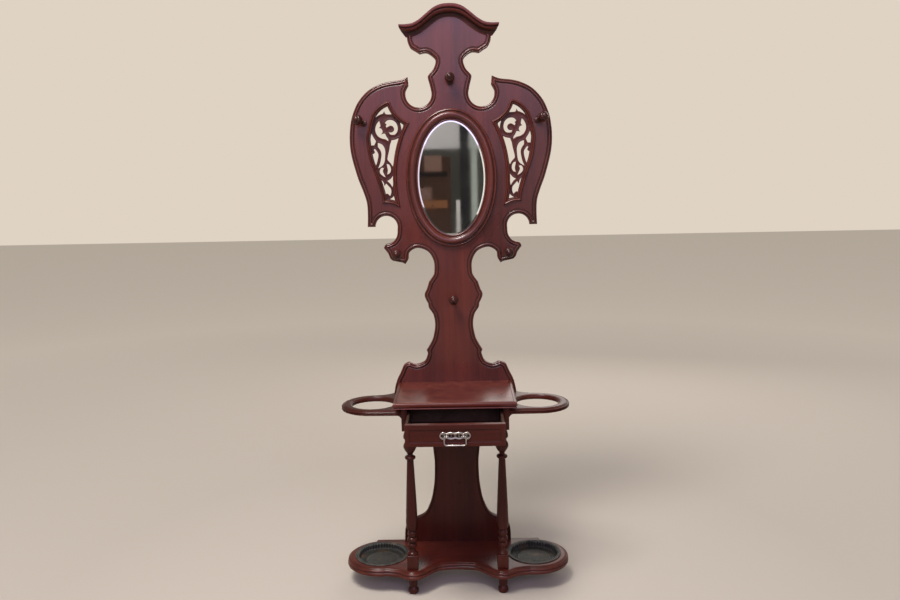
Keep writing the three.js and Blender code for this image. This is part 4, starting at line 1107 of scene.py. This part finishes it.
def pull_plate():
    """The pull's pierced back plate."""
    low, high = span("pull_plate")
    mid = centre("pull_plate")[2]
    half, _, tall = (high - low) / 2
    knots = [(half, 0), (half - 2, 0.5), (half - 8, 0.93), (half - 15, 1), (half - 21, 0.86),
             (half - 25, 0.72), (22, 0.9), (14, 1), (7, 0.92), (0, 0.8)]
    quarter = smooth(knots, 6) * [1, tall]
    upper = np.vstack([quarter, (quarter * [-1, 1])[::-1][1:]])
    loop = join(upper, (upper * [1, -1])[::-1]) + [0, mid]
    holes = []
    for sign in (-1, 1):
        for x, up, radius, stretch in ((half - 8.5, 0, 3.4, (1, 1.25)), (8, 0.8, 3.2, (1.25, 1.5)),
                                       (19, 0.8, 3.2, (1.25, 1.5))):
            holes.append(np.array([sign * x, mid + up]) + arc(0, 0, radius, 0, 345, 0.8) * stretch)
    widths, depths = np.array(PULL_EDGE).T
    near, deeper, heights = np.array(PULL_PIERCING).T
    flat, tris = triangulate([loop, *holes], ring_points(loop, widths[1:]))
    middle = flat[tris].mean(1)
    keep = ~np.any([inside(middle, hole) for hole in holes], 0)
    way = np.min([distance(flat, hole) for hole in holes], 0)
    fall = np.interp(distance(flat, loop), widths, depths) + np.interp(way, near, deeper)
    front = low[1] + np.minimum(fall, PULL_DEEPEST)
    relief_for_wear_and_shade = np.interp(way, near, heights)
    return board(flat, front, tris[keep], np.zeros(keep.sum(), int), [high[1]], relief_for_wear_and_shade)


def make_pull():
    """The pull: a pierced back plate, two posts and a bail that hangs from them."""
    put("pull_scutcheon", [pull_plate()], "drawer", "old nickel", ["pull_plate"], 25)
    mid = centre("pull_plate")[2]
    lean = Matrix.Rotation(math.radians(90), 4, "X")
    for side in SIDES:
        node_name = f"pull_post_{side}"
        part = moved(turned(POST_PROFILE, 28), (centre(node_name)[0], span(node_name)[1][1], mid), lean)
        put(f"post_{side}", [part], "drawer", "old nickel", [node_name], 50)
    low, high = span("pull_bail")
    reach, foot = high[0] - ROD, low[2] + ROD
    eye = centre("pull_post_right")[0] - BAIL_EYE
    shoulder = arc(reach - BAIL_SHOULDER, mid - BAIL_SHOULDER, BAIL_SHOULDER, 90, 0, 0.8)
    elbow = arc(reach - BAIL_ELBOW, foot + BAIL_ELBOW, BAIL_ELBOW, 0, -90, 1)
    half_path = np.vstack([[(eye, mid)], shoulder, elbow])
    path = even(np.vstack([half_path, (half_path * [-1, 1])[::-1]]), 1.2)
    swell = 1 + ROD_SWELL * np.exp(-((path[:, 0] / 14) ** 2)) * (path[:, 1] < foot + 2)
    points = np.column_stack([path[:, 0], np.full(len(path), centre("pull_bail")[1]), path[:, 1]])
    put("bail_handle", [tube(points, ROD * swell, 14)], "bail", "old nickel", ["pull_bail"], 50)


# ------------------------------------------------------------------ umbrella rings

# Up a ring's outer edge: way out, height over its underside. Then up the edge of its hole.
RING_EDGE = [
    (-6, 0), (-3, 0), (-1, 1), (-0.2, 3), (-0.4, 5), (-2.4, 6.4), (-3, 7.4), (-1.6, 8.2), (0, 10),
    (0, 12), (-1.4, 13.8), (-4.6, 14.6), (-5.4, 15.6), (-5.8, 16.8), (-8, 17.8), (-9.4, 16.8),
    (-10.6, 17.6), (-12.6, 18.8), (-15, 19),
]
RING_HOLE = [
    (8, 0), (4, 0), (1.6, 1), (0.2, 3.2), (0, 6), (0, 11), (0.8, 13), (2.6, 13.8), (3.2, 15.4), (5, 17.6),
    (7.6, 18.2), (8.8, 17.4), (10, 18.8), (13, 19),
]

RING_THICK, RING_OUTER, RING_INNER = 19, 123, 84
RING_FORWARD = 142  # the ring's middle, before the wall
RING_ARM = 55  # straight length of the front arm
BRACKET = [(-1.2, 30), (0, 28.8), (0, 3.2), (-1.2, 2)]  # across its edge: way out, behind the ring's front


def make_rings():
    """The two umbrella rings, with their arms and the small hollow bracket under each front arm."""
    low, high = span("umbrella_ring_right")
    bottom = high[2] - RING_THICK
    x, y = high[0] - RING_OUTER, -RING_FORWARD
    near = y - RING_OUTER
    shoulder = placed([(249, 0)])[0][0]
    far = y + RING_OUTER
    away = smooth([(shoulder, BOARD), (shoulder + 10, 6), (x - 32, far + 9), (x, far)])
    case = CASE_X + GAP
    arm = [[case, near - 2], [case + RING_ARM, near - 1]]
    path = join(np.vstack([arm, arc(x, y, RING_OUTER, -90, 90), even(away[::-1], 4)[1:]]))
    grid = carried(path, [(out, bottom + rise) for out, rise in RING_EDGE], False, True)
    wall = grid[..., 1] > -GAP
    grid[..., 0] = np.where(wall, np.maximum(grid[..., 0], shoulder + GAP), grid[..., 0])
    inward = np.array([[case, -GAP], [shoulder + GAP, -GAP]])
    tail = np.broadcast_to(inward[::-1], (len(RING_EDGE), 2, 2))
    height = np.broadcast_to(grid[:, :1, 2:], (len(RING_EDGE), 2, 1))
    grid = np.concatenate([grid, np.concatenate([tail, height], 2)], 1)
    hole = [(out, bottom + rise) for out, rise in RING_HOLE]
    parts = [pierced(grid, [carried(arc(x, y, RING_INNER, 0, 356), hole, True, True)])]
    size = bottom - low[2]
    quarter = arc(case + size, bottom - size, size, 90, 180, 2)
    top_edge = np.array([[case, bottom + 1], [case + size + 6, bottom + 1]])
    bracket = join(top_edge, quarter[:1] + [6, 0], quarter)
    parts.append(moulded_slab(bracket, [(out, near + behind) for out, behind in BRACKET], True, False))
    for side, sign in SIDES.items():
        ring = handed(parts, sign)
        put(f"ring_{side}", ring, "stand", "painted-shade mahogany, across", [f"umbrella_ring_{side}"])


# ------------------------------------------------------------------ legs, feet and lower panel

# A leg's profile as radius and how far under its top, and then as radius and height over its block.
LEG_UPPER = [
    (0, 0), (18, 0), (18.6, 2), (18.6, 8), (17.4, 9.4), (17.2, 11), (19, 14), (21.4, 20), (23.2, 27),
    (24, 32), (24, 37), (22.4, 41), (19.4, 44), (17.6, 46.4), (17.4, 50), (18, 54), (20.4, 58), (23, 63),
    (24.6, 69), (24.8, 74), (23, 80), (19.6, 86), (16, 92), (12.6, 97), (10.4, 101), (10.2, 104),
    (11.4, 106.4), (14, 108), (17, 109), (19.6, 111), (20.6, 114), (20.6, 117), (19, 120), (16, 122),
    (13.6, 123.6), (12.8, 126), (13, 130),
]
LEG_LOWER = [
    (20.5, 200), (21.8, 152), (22.8, 136), (22.4, 118), (20.8, 106), (18, 100), (14.6, 97.4), (13, 96),
    (13.4, 94), (16, 90), (17.2, 86), (17.4, 80), (16, 75.6), (13.4, 73), (12.8, 71), (14.4, 69),
    (17.8, 66), (19.2, 62), (19.4, 58), (18, 53.6), (14.4, 50), (12, 48), (12.4, 46.4), (15.4, 44),
    (17, 40), (17, 35), (15.4, 30.6), (13.2, 27), (12.4, 22), (12.6, 16), (14.6, 11.6), (18, 8.6),
    (20, 6), (20.4, 3), (20, -1), (0, -1),
]
FOOT_PROFILE = [
    (0, 0), (14, 0), (17, 1.6), (19.4, 5.4), (20, 10), (20, 16), (18.6, 21), (16, 25), (14.2, 28),
    (14, 30), (15.6, 31.4), (16.4, 34), (16.6, 44), (17.4, 56), (18.6, 62), (20, 65), (20, 70.7),
    (0, 70.7),
]

LEG_BLOCK, BLOCK_TALL = 42, 57


def fuller(profile):
    """A profile with one more point in the middle of each short span, on a smooth curve."""
    p = np.array(profile, float)
    body = smooth(p[1:-1], 2)
    body[:, 0] = np.maximum(body[:, 0], 0.5)
    return np.vstack([p[0], body, p[-1]])


def make_legs(sides):
    """Turned front legs on square blocks, and the four feet."""
    low, high = span("front_leg_right")
    x, y, _ = centre("front_leg_right")
    half = LEG_BLOCK / 2
    block_top = low[2] + BLOCK_TALL
    profile = [(r, high[2] - down) for r, down in LEG_UPPER] + [(r, block_top + up) for r, up in LEG_LOWER]
    block = rounded((x - half, y - half, low[2]), (x + half, y + half, block_top), 2.5, 3)
    parts = [moved(turned(fuller(profile[::-1]), sides), (x, y, 0)), block]
    foot = turned(fuller(FOOT_PROFILE), sides)
    wood_name = "painted-shade mahogany, upright"
    for side, sign in SIDES.items():
        put(f"leg_{side}", handed(parts, sign), "stand", wood_name, [f"front_leg_{side}"], 50)
        for place in ("front", "rear"):
            node_name = f"foot_{place}_{side}"
            at = (*centre(node_name)[:2], 0)
            put(f"foot_{place}_turned_{side}", [moved(foot, at)], "stand", wood_name, [node_name], 50)


# The panel's outline, drawn from its middle and its foot.
PANEL_SIDE = [(96, 560), (96, 420), (90, 345), (92, 268), (98, 220), (109, 171), (132, 123), (165, 104)]
PANEL_TOE = [(165, 104), (194, 92), (214, 66), (219, 34), (219, 0)]
PANEL_HALF, PANEL_TALL = 200, 560  # drawn size that the case and the node's height stand for
# From the panel's edge inward: way in, depth; then how proud it stands there.
PANEL_MOULDING = [
    (0, 4), (0.8, 1.6), (2.4, 0.4), (4.6, 0), (6, 0.6), (7, 2), (8.4, 2), (9.4, 0.7), (10.6, 0), (12, 0),
    (15, 0),
]

PANEL_PROUD = [(0, 0.8), (1.5, 0.6), (4, 0.5), (6, 0.3), (7.6, 0.12), (9, 0.3), (11, 0.5)]
PANEL_ENDS, PANEL_FADE = 12, 0.4  # near its top and foot the bead is no deeper than this


def make_lower_panel():
    """The panel behind the legs, with a bead worked round its shaped sides."""
    low, high = span("lower_back_panel")
    stretch = [CASE_X / PANEL_HALF, (high[2] - low[2]) / PANEL_TALL]
    half = np.vstack([even(smooth(p) * stretch, 4) for p in (PANEL_SIDE, PANEL_TOE)]) + [0, low[2]]
    outline = both_halves(half)
    widths, depths = np.array(PANEL_MOULDING).T
    flat, tris = triangulate([outline], ring_points(outline, widths[1:]))
    way = distance(flat, outline)
    fall = np.interp(way, widths, depths)
    level = (flat[:, 1] - low[2] < PANEL_ENDS) | (high[2] - flat[:, 1] < PANEL_ENDS)
    front = np.where(level, np.minimum(fall, PANEL_FADE), fall)
    relief_for_wear_and_shade = np.interp(way, *np.array(PANEL_PROUD).T)
    part = board(flat, front, tris, np.zeros(len(tris), int), [BOARD], relief_for_wear_and_shade)
    put("lower_panel", [part], "stand", "painted-shade mahogany, upright", ["lower_back_panel"])


# ------------------------------------------------------------------ base shelf and pans

# Up the shelf's edge: way out, height over its underside. Then up the edge of a pan's hole.
BASE_EDGE = [
    (-9, 0), (-3.6, 0), (-1.4, 1), (-0.3, 3.2), (0, 6.4), (0, 9), (-1.2, 11.8), (-3.6, 13.4),
    (-4.2, 14.6), (-2.6, 15.8), (-1.8, 17.8), (-2, 20.4), (-3.6, 23), (-6.4, 24.8), (-9.6, 25.6),
    (-10.4, 26.6), (-12.6, 28.2), (-16, 29.4), (-20, 30),
]
PAN_HOLE = [(0, 0), (0, 26), (1, 28.6), (3, 30)]

# Along the shelf's front from a lobe to the middle: across from the leg, behind the bow's front.
BASE_BOW = [(48, 24), (22, 5), (0, 0), (-22, 5), (-48, 24), (-76, 56), (-110, 80)]
BASE_HOLLOW = 88  # how far the middle lies behind the bows
PAN_WALL = 8  # from a pan's rim in to its wall
PAN_CLEAR = 2.5  # between the wall and the shelf's hole


def make_base():
    """The serpentine shelf: two lobes, a bow round each leg and a hollow between them, moulded all
    round its front and pierced for the pans."""
    low, high = SHELF
    pan_low, pan_high = span("drip_pan_right")
    x, y, _ = centre("drip_pan_right")
    rim = (pan_high - pan_low)[0] / 2
    radius = high[0] - x
    start = math.degrees(math.asin((BOARD - y) / radius))
    lobe = arc(x, y, radius, start, -100)
    bow = [(LEG_X + across, low[1] + behind) for across, behind in BASE_BOW]
    bow = smooth([tuple(lobe[-1]), (LEG_X + 76, y - radius - 3), *bow, (0, low[1] + BASE_HOLLOW)])
    half = np.vstack([lobe, even(bow, 4)[1:]])
    path = np.vstack([half, (half * [-1, 1])[::-1][1:]])
    grid = carried(path, [(out, low[2] + rise) for out, rise in BASE_EDGE], False, True)
    end = np.arange(len(path)) % (len(path) - 1) == 0
    grid[..., 1] = np.where(end, BOARD, np.minimum(grid[..., 1], BOARD))
    section = [(out, low[2] + rise) for out, rise in PAN_HOLE]
    hole = carried(arc(x, y, rim - PAN_WALL + PAN_CLEAR, 0, 357, 5), section, True, True)
    other = (hole * [-1, 1, 1])[:, ::-1]
    put("base", [pierced(grid, [hole, other])], "stand", "polished mahogany, across", ["base_shelf"])


RIB_DEPTH = 4.2  # how far a pan's ribs come inward


def make_pans(ribs):
    """Iron pans: a turned dish whose inner wall is drawn in by rounded ribs."""
    low, high = span("drip_pan_right")
    x, y, _ = centre("drip_pan_right")
    rim, floor, top = (high - low)[0] / 2, low[2], high[2]
    under = [(0, 0), (60, 0), (86, 0), (rim - 17, 1.2), (rim - 11, 4.6), (rim - 8.4, 10)]
    lip = [(8, 6), (8, 4), (1.4, 4), (0.2, 3.2), (0, 2), (0.8, 0.7), (2.4, 0), (5, 0.3), (7.4, 0.9),
           (9.4, 0.5), (11, 1.2)]
    wall = [(rim - 11.9, 20), (rim - 12.4, 12), (rim - 14.8, 7.4), (rim - 19, 4.6), (rim - 24, 3.7)]
    bottom = [(66, 3.5), (64, 4.6), (61, 4.6), (59, 3.5), (20, 3.5), (0, 3.5)]
    profile = [(r, floor + up) for r, up in under]
    profile += [(rim - inward, top - down) for inward, down in [*lip, (11.6, 3.4)]]
    profile += [(r, floor + up) for r, up in wall + bottom]
    ribbed = [0] * (len(under) + len(lip)) + [1, 1, 1, 0.9, 0.5, 0.2] + [0] * len(bottom)
    pan = moved(turned(profile, ribs * 6, ribs, RIB_DEPTH, ribbed), (x, y, 0))
    for side, sign in SIDES.items():
        put(f"iron_pan_{side}", handed([pan], sign), f"{side}_pan", "cast iron", [f"drip_pan_{side}"], 50)


# ------------------------------------------------------------------ stage


def lamp(name, place, aim, size, power, colour):
    """A soft square light that faces a point at a height over the middle of the floor."""
    data = bpy.data.lights.new(name, "AREA")
    data.size, data.energy, data.color = size, power, colour
    made = bpy.data.objects.new(name, data)
    made.location = place
    made.rotation_euler = (Vector((0, 0, aim)) - Vector(place)).to_track_quat("-Z", "Y").to_euler()
    bpy.context.scene.collection.objects.link(made)


def flat_panel(name, corners, colour, glow=0.0):
    """A flat four-cornered panel that isn't part of the stand; glow is its own light."""
    mesh = bpy.data.meshes.new(name)
    mesh.from_pydata(corners, [], [(0, 1, 2, 3)])
    material = bpy.data.materials.new(name)
    material.use_nodes = True
    shader = material.node_tree.nodes["Principled BSDF"]
    shader.inputs["Base Color"].default_value = (*colour, 1)
    shader.inputs["Roughness"].default_value = 0.9
    shader.inputs["Emission Color"].default_value = (*colour, 1)
    shader.inputs["Emission Strength"].default_value = glow
    mesh.materials.append(material)
    panel = bpy.data.objects.new(name, mesh)
    bpy.context.scene.collection.objects.link(panel)
    return panel


# What stands behind the camera for the glass and the polish to show: left, right, foot, top, how
# far off, colour, glow. The walls, ceiling, cabinet, shelves, jar, bowl, door edge and post glow by
# their own light, painted light that no lamp gives, so that the glass and the polish show them lit;
# the glow of the ceiling and clerestory paints the purple sheen on the upper boards.
FAR_SIDE = {
    "far_wall": (-5, 5, 0.1, 1.95, 6.6, (0.075, 0.07, 0.06), 0.3),
    "far_upper_wall": (-5, 5, 1.95, 2.32, 6.6, (0.50, 0.47, 0.46), 0.5),
    "far_ceiling": (-5, 5, 2.32, 3.2, 6.6, (0.46, 0.41, 0.60), 2.6),
    "far_clerestory": (-4, 4, 3.2, 5.8, 6.6, (0.46, 0.40, 0.62), 6.0),
    "far_left_light": (-2.3, -0.66, 1.0, 2.32, 6.3, (0.50, 0.42, 0.51), 1.7),
    "far_cabinet": (-0.62, -0.06, 0.5, 1.85, 6.3, (0.050, 0.026, 0.018), 0.4),
    "far_shelf_upper": (-0.60, -0.10, 1.62, 1.68, 6.25, (0.012, 0.010, 0.012), 0.0),
    "far_jar": (-0.36, -0.16, 1.68, 1.86, 6.2, (0.15, 0.085, 0.065), 0.6),
    "far_bowl": (-0.50, -0.28, 1.36, 1.50, 6.2, (0.13, 0.075, 0.06), 0.6),
    "far_shelf": (-0.60, -0.10, 1.26, 1.35, 6.2, (0.16, 0.065, 0.03), 0.6),
    "far_door_edge": (0.0, 0.045, 0.4, 1.35, 6.2, (0.50, 0.47, 0.45), 0.5),
    "far_curtain": (0.05, 0.16, 0.4, 2.3, 6.3, (0.03, 0.03, 0.035), 0.0),
    "far_post": (0.18, 0.25, 0.4, 2.3, 6.3, (0.34, 0.37, 0.33), 0.5),
    "far_window": (0.75, 1.9, 0.8, 2.2, 6.3, (0.80, 0.79, 0.74), 0.8),
}

# Where each lamp is, the height it faces, its side, its share of the main power, its colour.
LAMPS = {
    "key": ((-0.95, -1.4, 4.1), 1.3, 1.1, 1, (1, 0.95, 0.89)),
    "fill": ((2.4, -2.9, 2.1), 0.9, 2.2, 0.05, (1, 0.95, 0.9)),
    "back_light": ((0.9, 3.4, 2.6), 1.2, 2.6, 0.28, (1, 0.96, 0.92)),
}
FLOOR_REACH = 20
PALER = 1.75  # how much paler the floor ends
PALER_FROM, PALER_TO = 1.6, 6.5  # over which distance from the stand


def make_floor(colour):
    """A wide plain floor, a little paler away from the lamps so that it looks even."""
    corners = [(x * FLOOR_REACH, y * FLOOR_REACH, 0) for x, y in ((-1, -1), (1, -1), (1, 1), (-1, 1))]
    tree = flat_panel("floor", corners, colour).active_material.node_tree
    place = node(tree, "TexCoord").outputs["Object"]
    away = node(tree, "VectorMath", [(0, place)], operation="LENGTH").outputs["Value"]
    paler = tuple(min(1.0, c * PALER) for c in colour)
    mixed = blend(tree, ramp(tree, away, PALER_FROM, PALER_TO), (*colour, 1), (*paler, 1))
    tree.links.new(mixed, tree.nodes["Principled BSDF"].inputs["Base Color"])


def make_surroundings(look):
    """The light from all round, with a plain pale backdrop where the eye looks straight at it."""
    world = bpy.data.worlds.new("studio")
    world.use_nodes = True
    tree = world.node_tree
    light = tree.nodes["Background"]
    light.inputs["Color"].default_value = (*look.air, 1)
    light.inputs["Strength"].default_value = look.air_strength
    seen = node(tree, "Background", [("Color", (*look.backdrop, 1))]).outputs[0]
    straight = node(tree, "LightPath").outputs["Is Camera Ray"]
    both = node(tree, "MixShader", [(0, straight), (1, light.outputs[0]), (2, seen)]).outputs[0]
    tree.links.new(both, tree.nodes["World Output"].inputs["Surface"])
    return world


def make_camera(look):
    """The camera, turned to the left, tipped down and rolled by the look's angles."""
    camera = bpy.data.cameras.new("camera")
    camera.sensor_width, camera.lens = 36, look.lens
    yaw, pitch, roll = (math.radians(a) for a in (look.camera_yaw, look.camera_pitch, look.camera_roll))
    ahead = Vector((-math.sin(yaw) * math.cos(pitch), math.cos(yaw) * math.cos(pitch), -math.sin(pitch)))
    right = Vector((math.cos(yaw), math.sin(yaw), 0))
    over = right.cross(ahead)
    across = right * math.cos(roll) + over * math.sin(roll)
    up = over * math.cos(roll) - right * math.sin(roll)
    eye = bpy.data.objects.new("camera", camera)
    eye.matrix_world = Matrix((across, up, -ahead)).transposed().to_4x4()
    eye.location = look.camera_place
    bpy.context.scene.collection.objects.link(eye)
    bpy.context.scene.camera = eye


def make_stage(look):
    """Pale floor, soft lights, a dim far side that glows by painted light for the mirror to show, and the
    camera.
    """
    make_floor(look.floor)
    for name, (left, right, foot, top, away, colour, glow) in FAR_SIDE.items():
        corners = [(left, -away, foot), (right, -away, foot), (right, -away, top), (left, -away, top)]
        flat_panel(name, corners, colour, glow).visible_camera = False
    bpy.context.scene.world = make_surroundings(look)
    for name, (place, aim, size, share, colour) in LAMPS.items():
        lamp(name, place, aim, size, look.key_power * share, colour)
    daylight = bpy.data.lights.new("daylight", "SUN")
    daylight.energy, daylight.angle = look.daylight, math.radians(28)
    high = bpy.data.objects.new("daylight", daylight)
    high.rotation_euler = (math.radians(24), 0, math.radians(-25))
    bpy.context.scene.collection.objects.link(high)
    make_camera(look)
    bpy.context.scene.view_settings.view_transform = "Standard"


# ------------------------------------------------------------------ the add-on


class HallStandLook(bpy.types.PropertyGroup):
    """Colours, lights and camera of the hall stand"""

    wood_dark: FloatVectorProperty(
        name="Dark wood", description="Darkest colour of the mahogany's grain",
        default=(0.038, 0.0064, 0.0044), size=3, min=0, max=1, subtype="COLOR")
    wood_light: FloatVectorProperty(
        name="Light wood", description="Lightest colour of the mahogany's grain",
        default=(0.110, 0.0192, 0.0112), size=3, min=0, max=1, subtype="COLOR")
    floor: FloatVectorProperty(
        name="Floor", description="Colour of the plain floor",
        default=(0.44, 0.395, 0.34), size=3, min=0, max=1, subtype="COLOR")
    air: FloatVectorProperty(
        name="Surroundings", description="Colour of the light from all round",
        default=(0.86, 0.80, 0.72), size=3, min=0, max=1, subtype="COLOR")
    backdrop: FloatVectorProperty(
        name="Backdrop", description="Plain colour behind the stand",
        default=(0.74, 0.65, 0.55), size=3, min=0, max=1, subtype="COLOR")
    air_strength: FloatProperty(
        name="Surroundings strength", description="Strength of the light from all round",
        default=0.36, min=0, max=5)
    key_power: FloatProperty(
        name="Key power", description="Power of the main light", default=135, min=0, unit="POWER")
    daylight: FloatProperty(
        name="Daylight", description="Strength of the even light from above", default=0.9, min=0)
    lens: FloatProperty(name="Lens", description="Focal length", default=33.32, min=10, max=200)
    camera_yaw: FloatProperty(
        name="Yaw", description="Camera turned to the left, in degrees", default=0.6965)
    camera_pitch: FloatProperty(
        name="Pitch", description="Camera tipped down, in degrees", default=8.2266)
    camera_roll: FloatProperty(
        name="Roll", description="Camera rolled, in degrees", default=-1.0768)
    camera_place: FloatVectorProperty(
        name="Camera", description="Where the camera stands",
        default=(0.0252, -3.0416, 1.5849), size=3, unit="LENGTH", subtype="TRANSLATION")


class HallStandSizes(bpy.types.PropertyGroup):
    """Fineness of the hall stand's worked surfaces"""

    turned_sides: IntProperty(
        name="Sides of turned work", description="Facets round a leg, foot or peg",
        default=48, min=12, max=128)
    pan_ribs: IntProperty(
        name="Pan ribs", description="Ribs round the inside of a drip pan", default=52, min=8, max=80)


class HALLSTAND_OT_finishes(bpy.types.Operator):
    """Makes the wood, glass, iron and nickel"""

    bl_idname = "hallstand.finishes"
    bl_label = "Finishes"

    def execute(self, context):
        make_finishes(context.scene.hall_stand_look)
        return {"FINISHED"}


class HALLSTAND_OT_stage(bpy.types.Operator):
    """Makes the floor, the lights and the camera"""

    bl_idname = "hallstand.stage"
    bl_label = "Stage"

    def execute(self, context):
        make_stage(context.scene.hall_stand_look)
        return {"FINISHED"}


class HALLSTAND_OT_back(bpy.types.Operator):
    """Makes the seven moulded boards of the back"""

    bl_idname = "hallstand.back"
    bl_label = "Back"

    def execute(self, context):
        make_back()
        return {"FINISHED"}


class HALLSTAND_OT_frets(bpy.types.Operator):
    """Makes the window mouldings and the pierced panels"""

    bl_idname = "hallstand.frets"
    bl_label = "Frets"

    def execute(self, context):
        make_frets()
        return {"FINISHED"}


class HALLSTAND_OT_crest(bpy.types.Operator):
    """Makes the crest moulding"""

    bl_idname = "hallstand.crest"
    bl_label = "Crest"

    def execute(self, context):
        make_crest()
        return {"FINISHED"}


class HALLSTAND_OT_mirror(bpy.types.Operator):
    """Makes the oval frame, the glass and the board behind it"""

    bl_idname = "hallstand.mirror"
    bl_label = "Mirror"

    def execute(self, context):
        make_mirror()
        return {"FINISHED"}


class HALLSTAND_OT_pegs(bpy.types.Operator):
    """Makes the six turned pegs"""

    bl_idname = "hallstand.pegs"
    bl_label = "Hat pegs"

    def execute(self, context):
        make_pegs(context.scene.hall_stand_sizes.turned_sides)
        return {"FINISHED"}


class HALLSTAND_OT_table(bpy.types.Operator):
    """Makes the table top and the case"""

    bl_idname = "hallstand.table"
    bl_label = "Table"

    def execute(self, context):
        make_table()
        return {"FINISHED"}


class HALLSTAND_OT_drawer(bpy.types.Operator):
    """Makes the drawer"""

    bl_idname = "hallstand.drawer"
    bl_label = "Drawer"

    def execute(self, context):
        make_drawer()
        return {"FINISHED"}


class HALLSTAND_OT_pull(bpy.types.Operator):
    """Makes the drawer pull"""

    bl_idname = "hallstand.pull"
    bl_label = "Pull"

    def execute(self, context):
        make_pull()
        return {"FINISHED"}


class HALLSTAND_OT_rings(bpy.types.Operator):
    """Makes the umbrella rings and their brackets"""

    bl_idname = "hallstand.rings"
    bl_label = "Umbrella rings"

    def execute(self, context):
        make_rings()
        return {"FINISHED"}


class HALLSTAND_OT_legs(bpy.types.Operator):
    """Makes the turned legs and feet"""

    bl_idname = "hallstand.legs"
    bl_label = "Legs and feet"

    def execute(self, context):
        make_legs(context.scene.hall_stand_sizes.turned_sides)
        return {"FINISHED"}


class HALLSTAND_OT_lower_panel(bpy.types.Operator):
    """Makes the panel behind the legs"""

    bl_idname = "hallstand.lower_panel"
    bl_label = "Lower panel"

    def execute(self, context):
        make_lower_panel()
        return {"FINISHED"}


class HALLSTAND_OT_base(bpy.types.Operator):
    """Makes the serpentine base shelf"""

    bl_idname = "hallstand.base"
    bl_label = "Base"

    def execute(self, context):
        make_base()
        return {"FINISHED"}


class HALLSTAND_OT_pans(bpy.types.Operator):
    """Makes the ribbed iron pans"""

    bl_idname = "hallstand.pans"
    bl_label = "Drip pans"

    def execute(self, context):
        make_pans(context.scene.hall_stand_sizes.pan_ribs)
        return {"FINISHED"}


OPERATORS = [
    HALLSTAND_OT_finishes, HALLSTAND_OT_stage, HALLSTAND_OT_back, HALLSTAND_OT_frets, HALLSTAND_OT_crest,
    HALLSTAND_OT_mirror, HALLSTAND_OT_pegs, HALLSTAND_OT_table, HALLSTAND_OT_drawer, HALLSTAND_OT_pull,
    HALLSTAND_OT_rings, HALLSTAND_OT_legs, HALLSTAND_OT_lower_panel, HALLSTAND_OT_base, HALLSTAND_OT_pans,
]


class HALLSTAND_PT_panel(bpy.types.Panel):
    """Buttons and settings of the hall stand"""

    bl_label = "Hall Stand"
    bl_idname = "HALLSTAND_PT_panel"
    bl_space_type = "VIEW_3D"
    bl_region_type = "UI"
    bl_category = "Hall Stand"

    def draw(self, context):
        for settings in (context.scene.hall_stand_look, context.scene.hall_stand_sizes):
            for name in settings.__annotations__:
                self.layout.prop(settings, name)
        for made in OPERATORS:
            self.layout.operator(made.bl_idname)


CLASSES = [HallStandLook, HallStandSizes, *OPERATORS, HALLSTAND_PT_panel]


def register():
    for made in CLASSES:
        bpy.utils.register_class(made)
    bpy.types.Scene.hall_stand_look = PointerProperty(type=HallStandLook)
    bpy.types.Scene.hall_stand_sizes = PointerProperty(type=HallStandSizes)


def unregister():
    del bpy.types.Scene.hall_stand_look
    del bpy.types.Scene.hall_stand_sizes
    for made in reversed(CLASSES):
        bpy.utils.unregister_class(made)


def main():
    register()
    for made in OPERATORS:
        group, name = made.bl_idname.split(".")
        getattr(getattr(bpy.ops, group), name)()


if __name__ == "__main__":
    main()
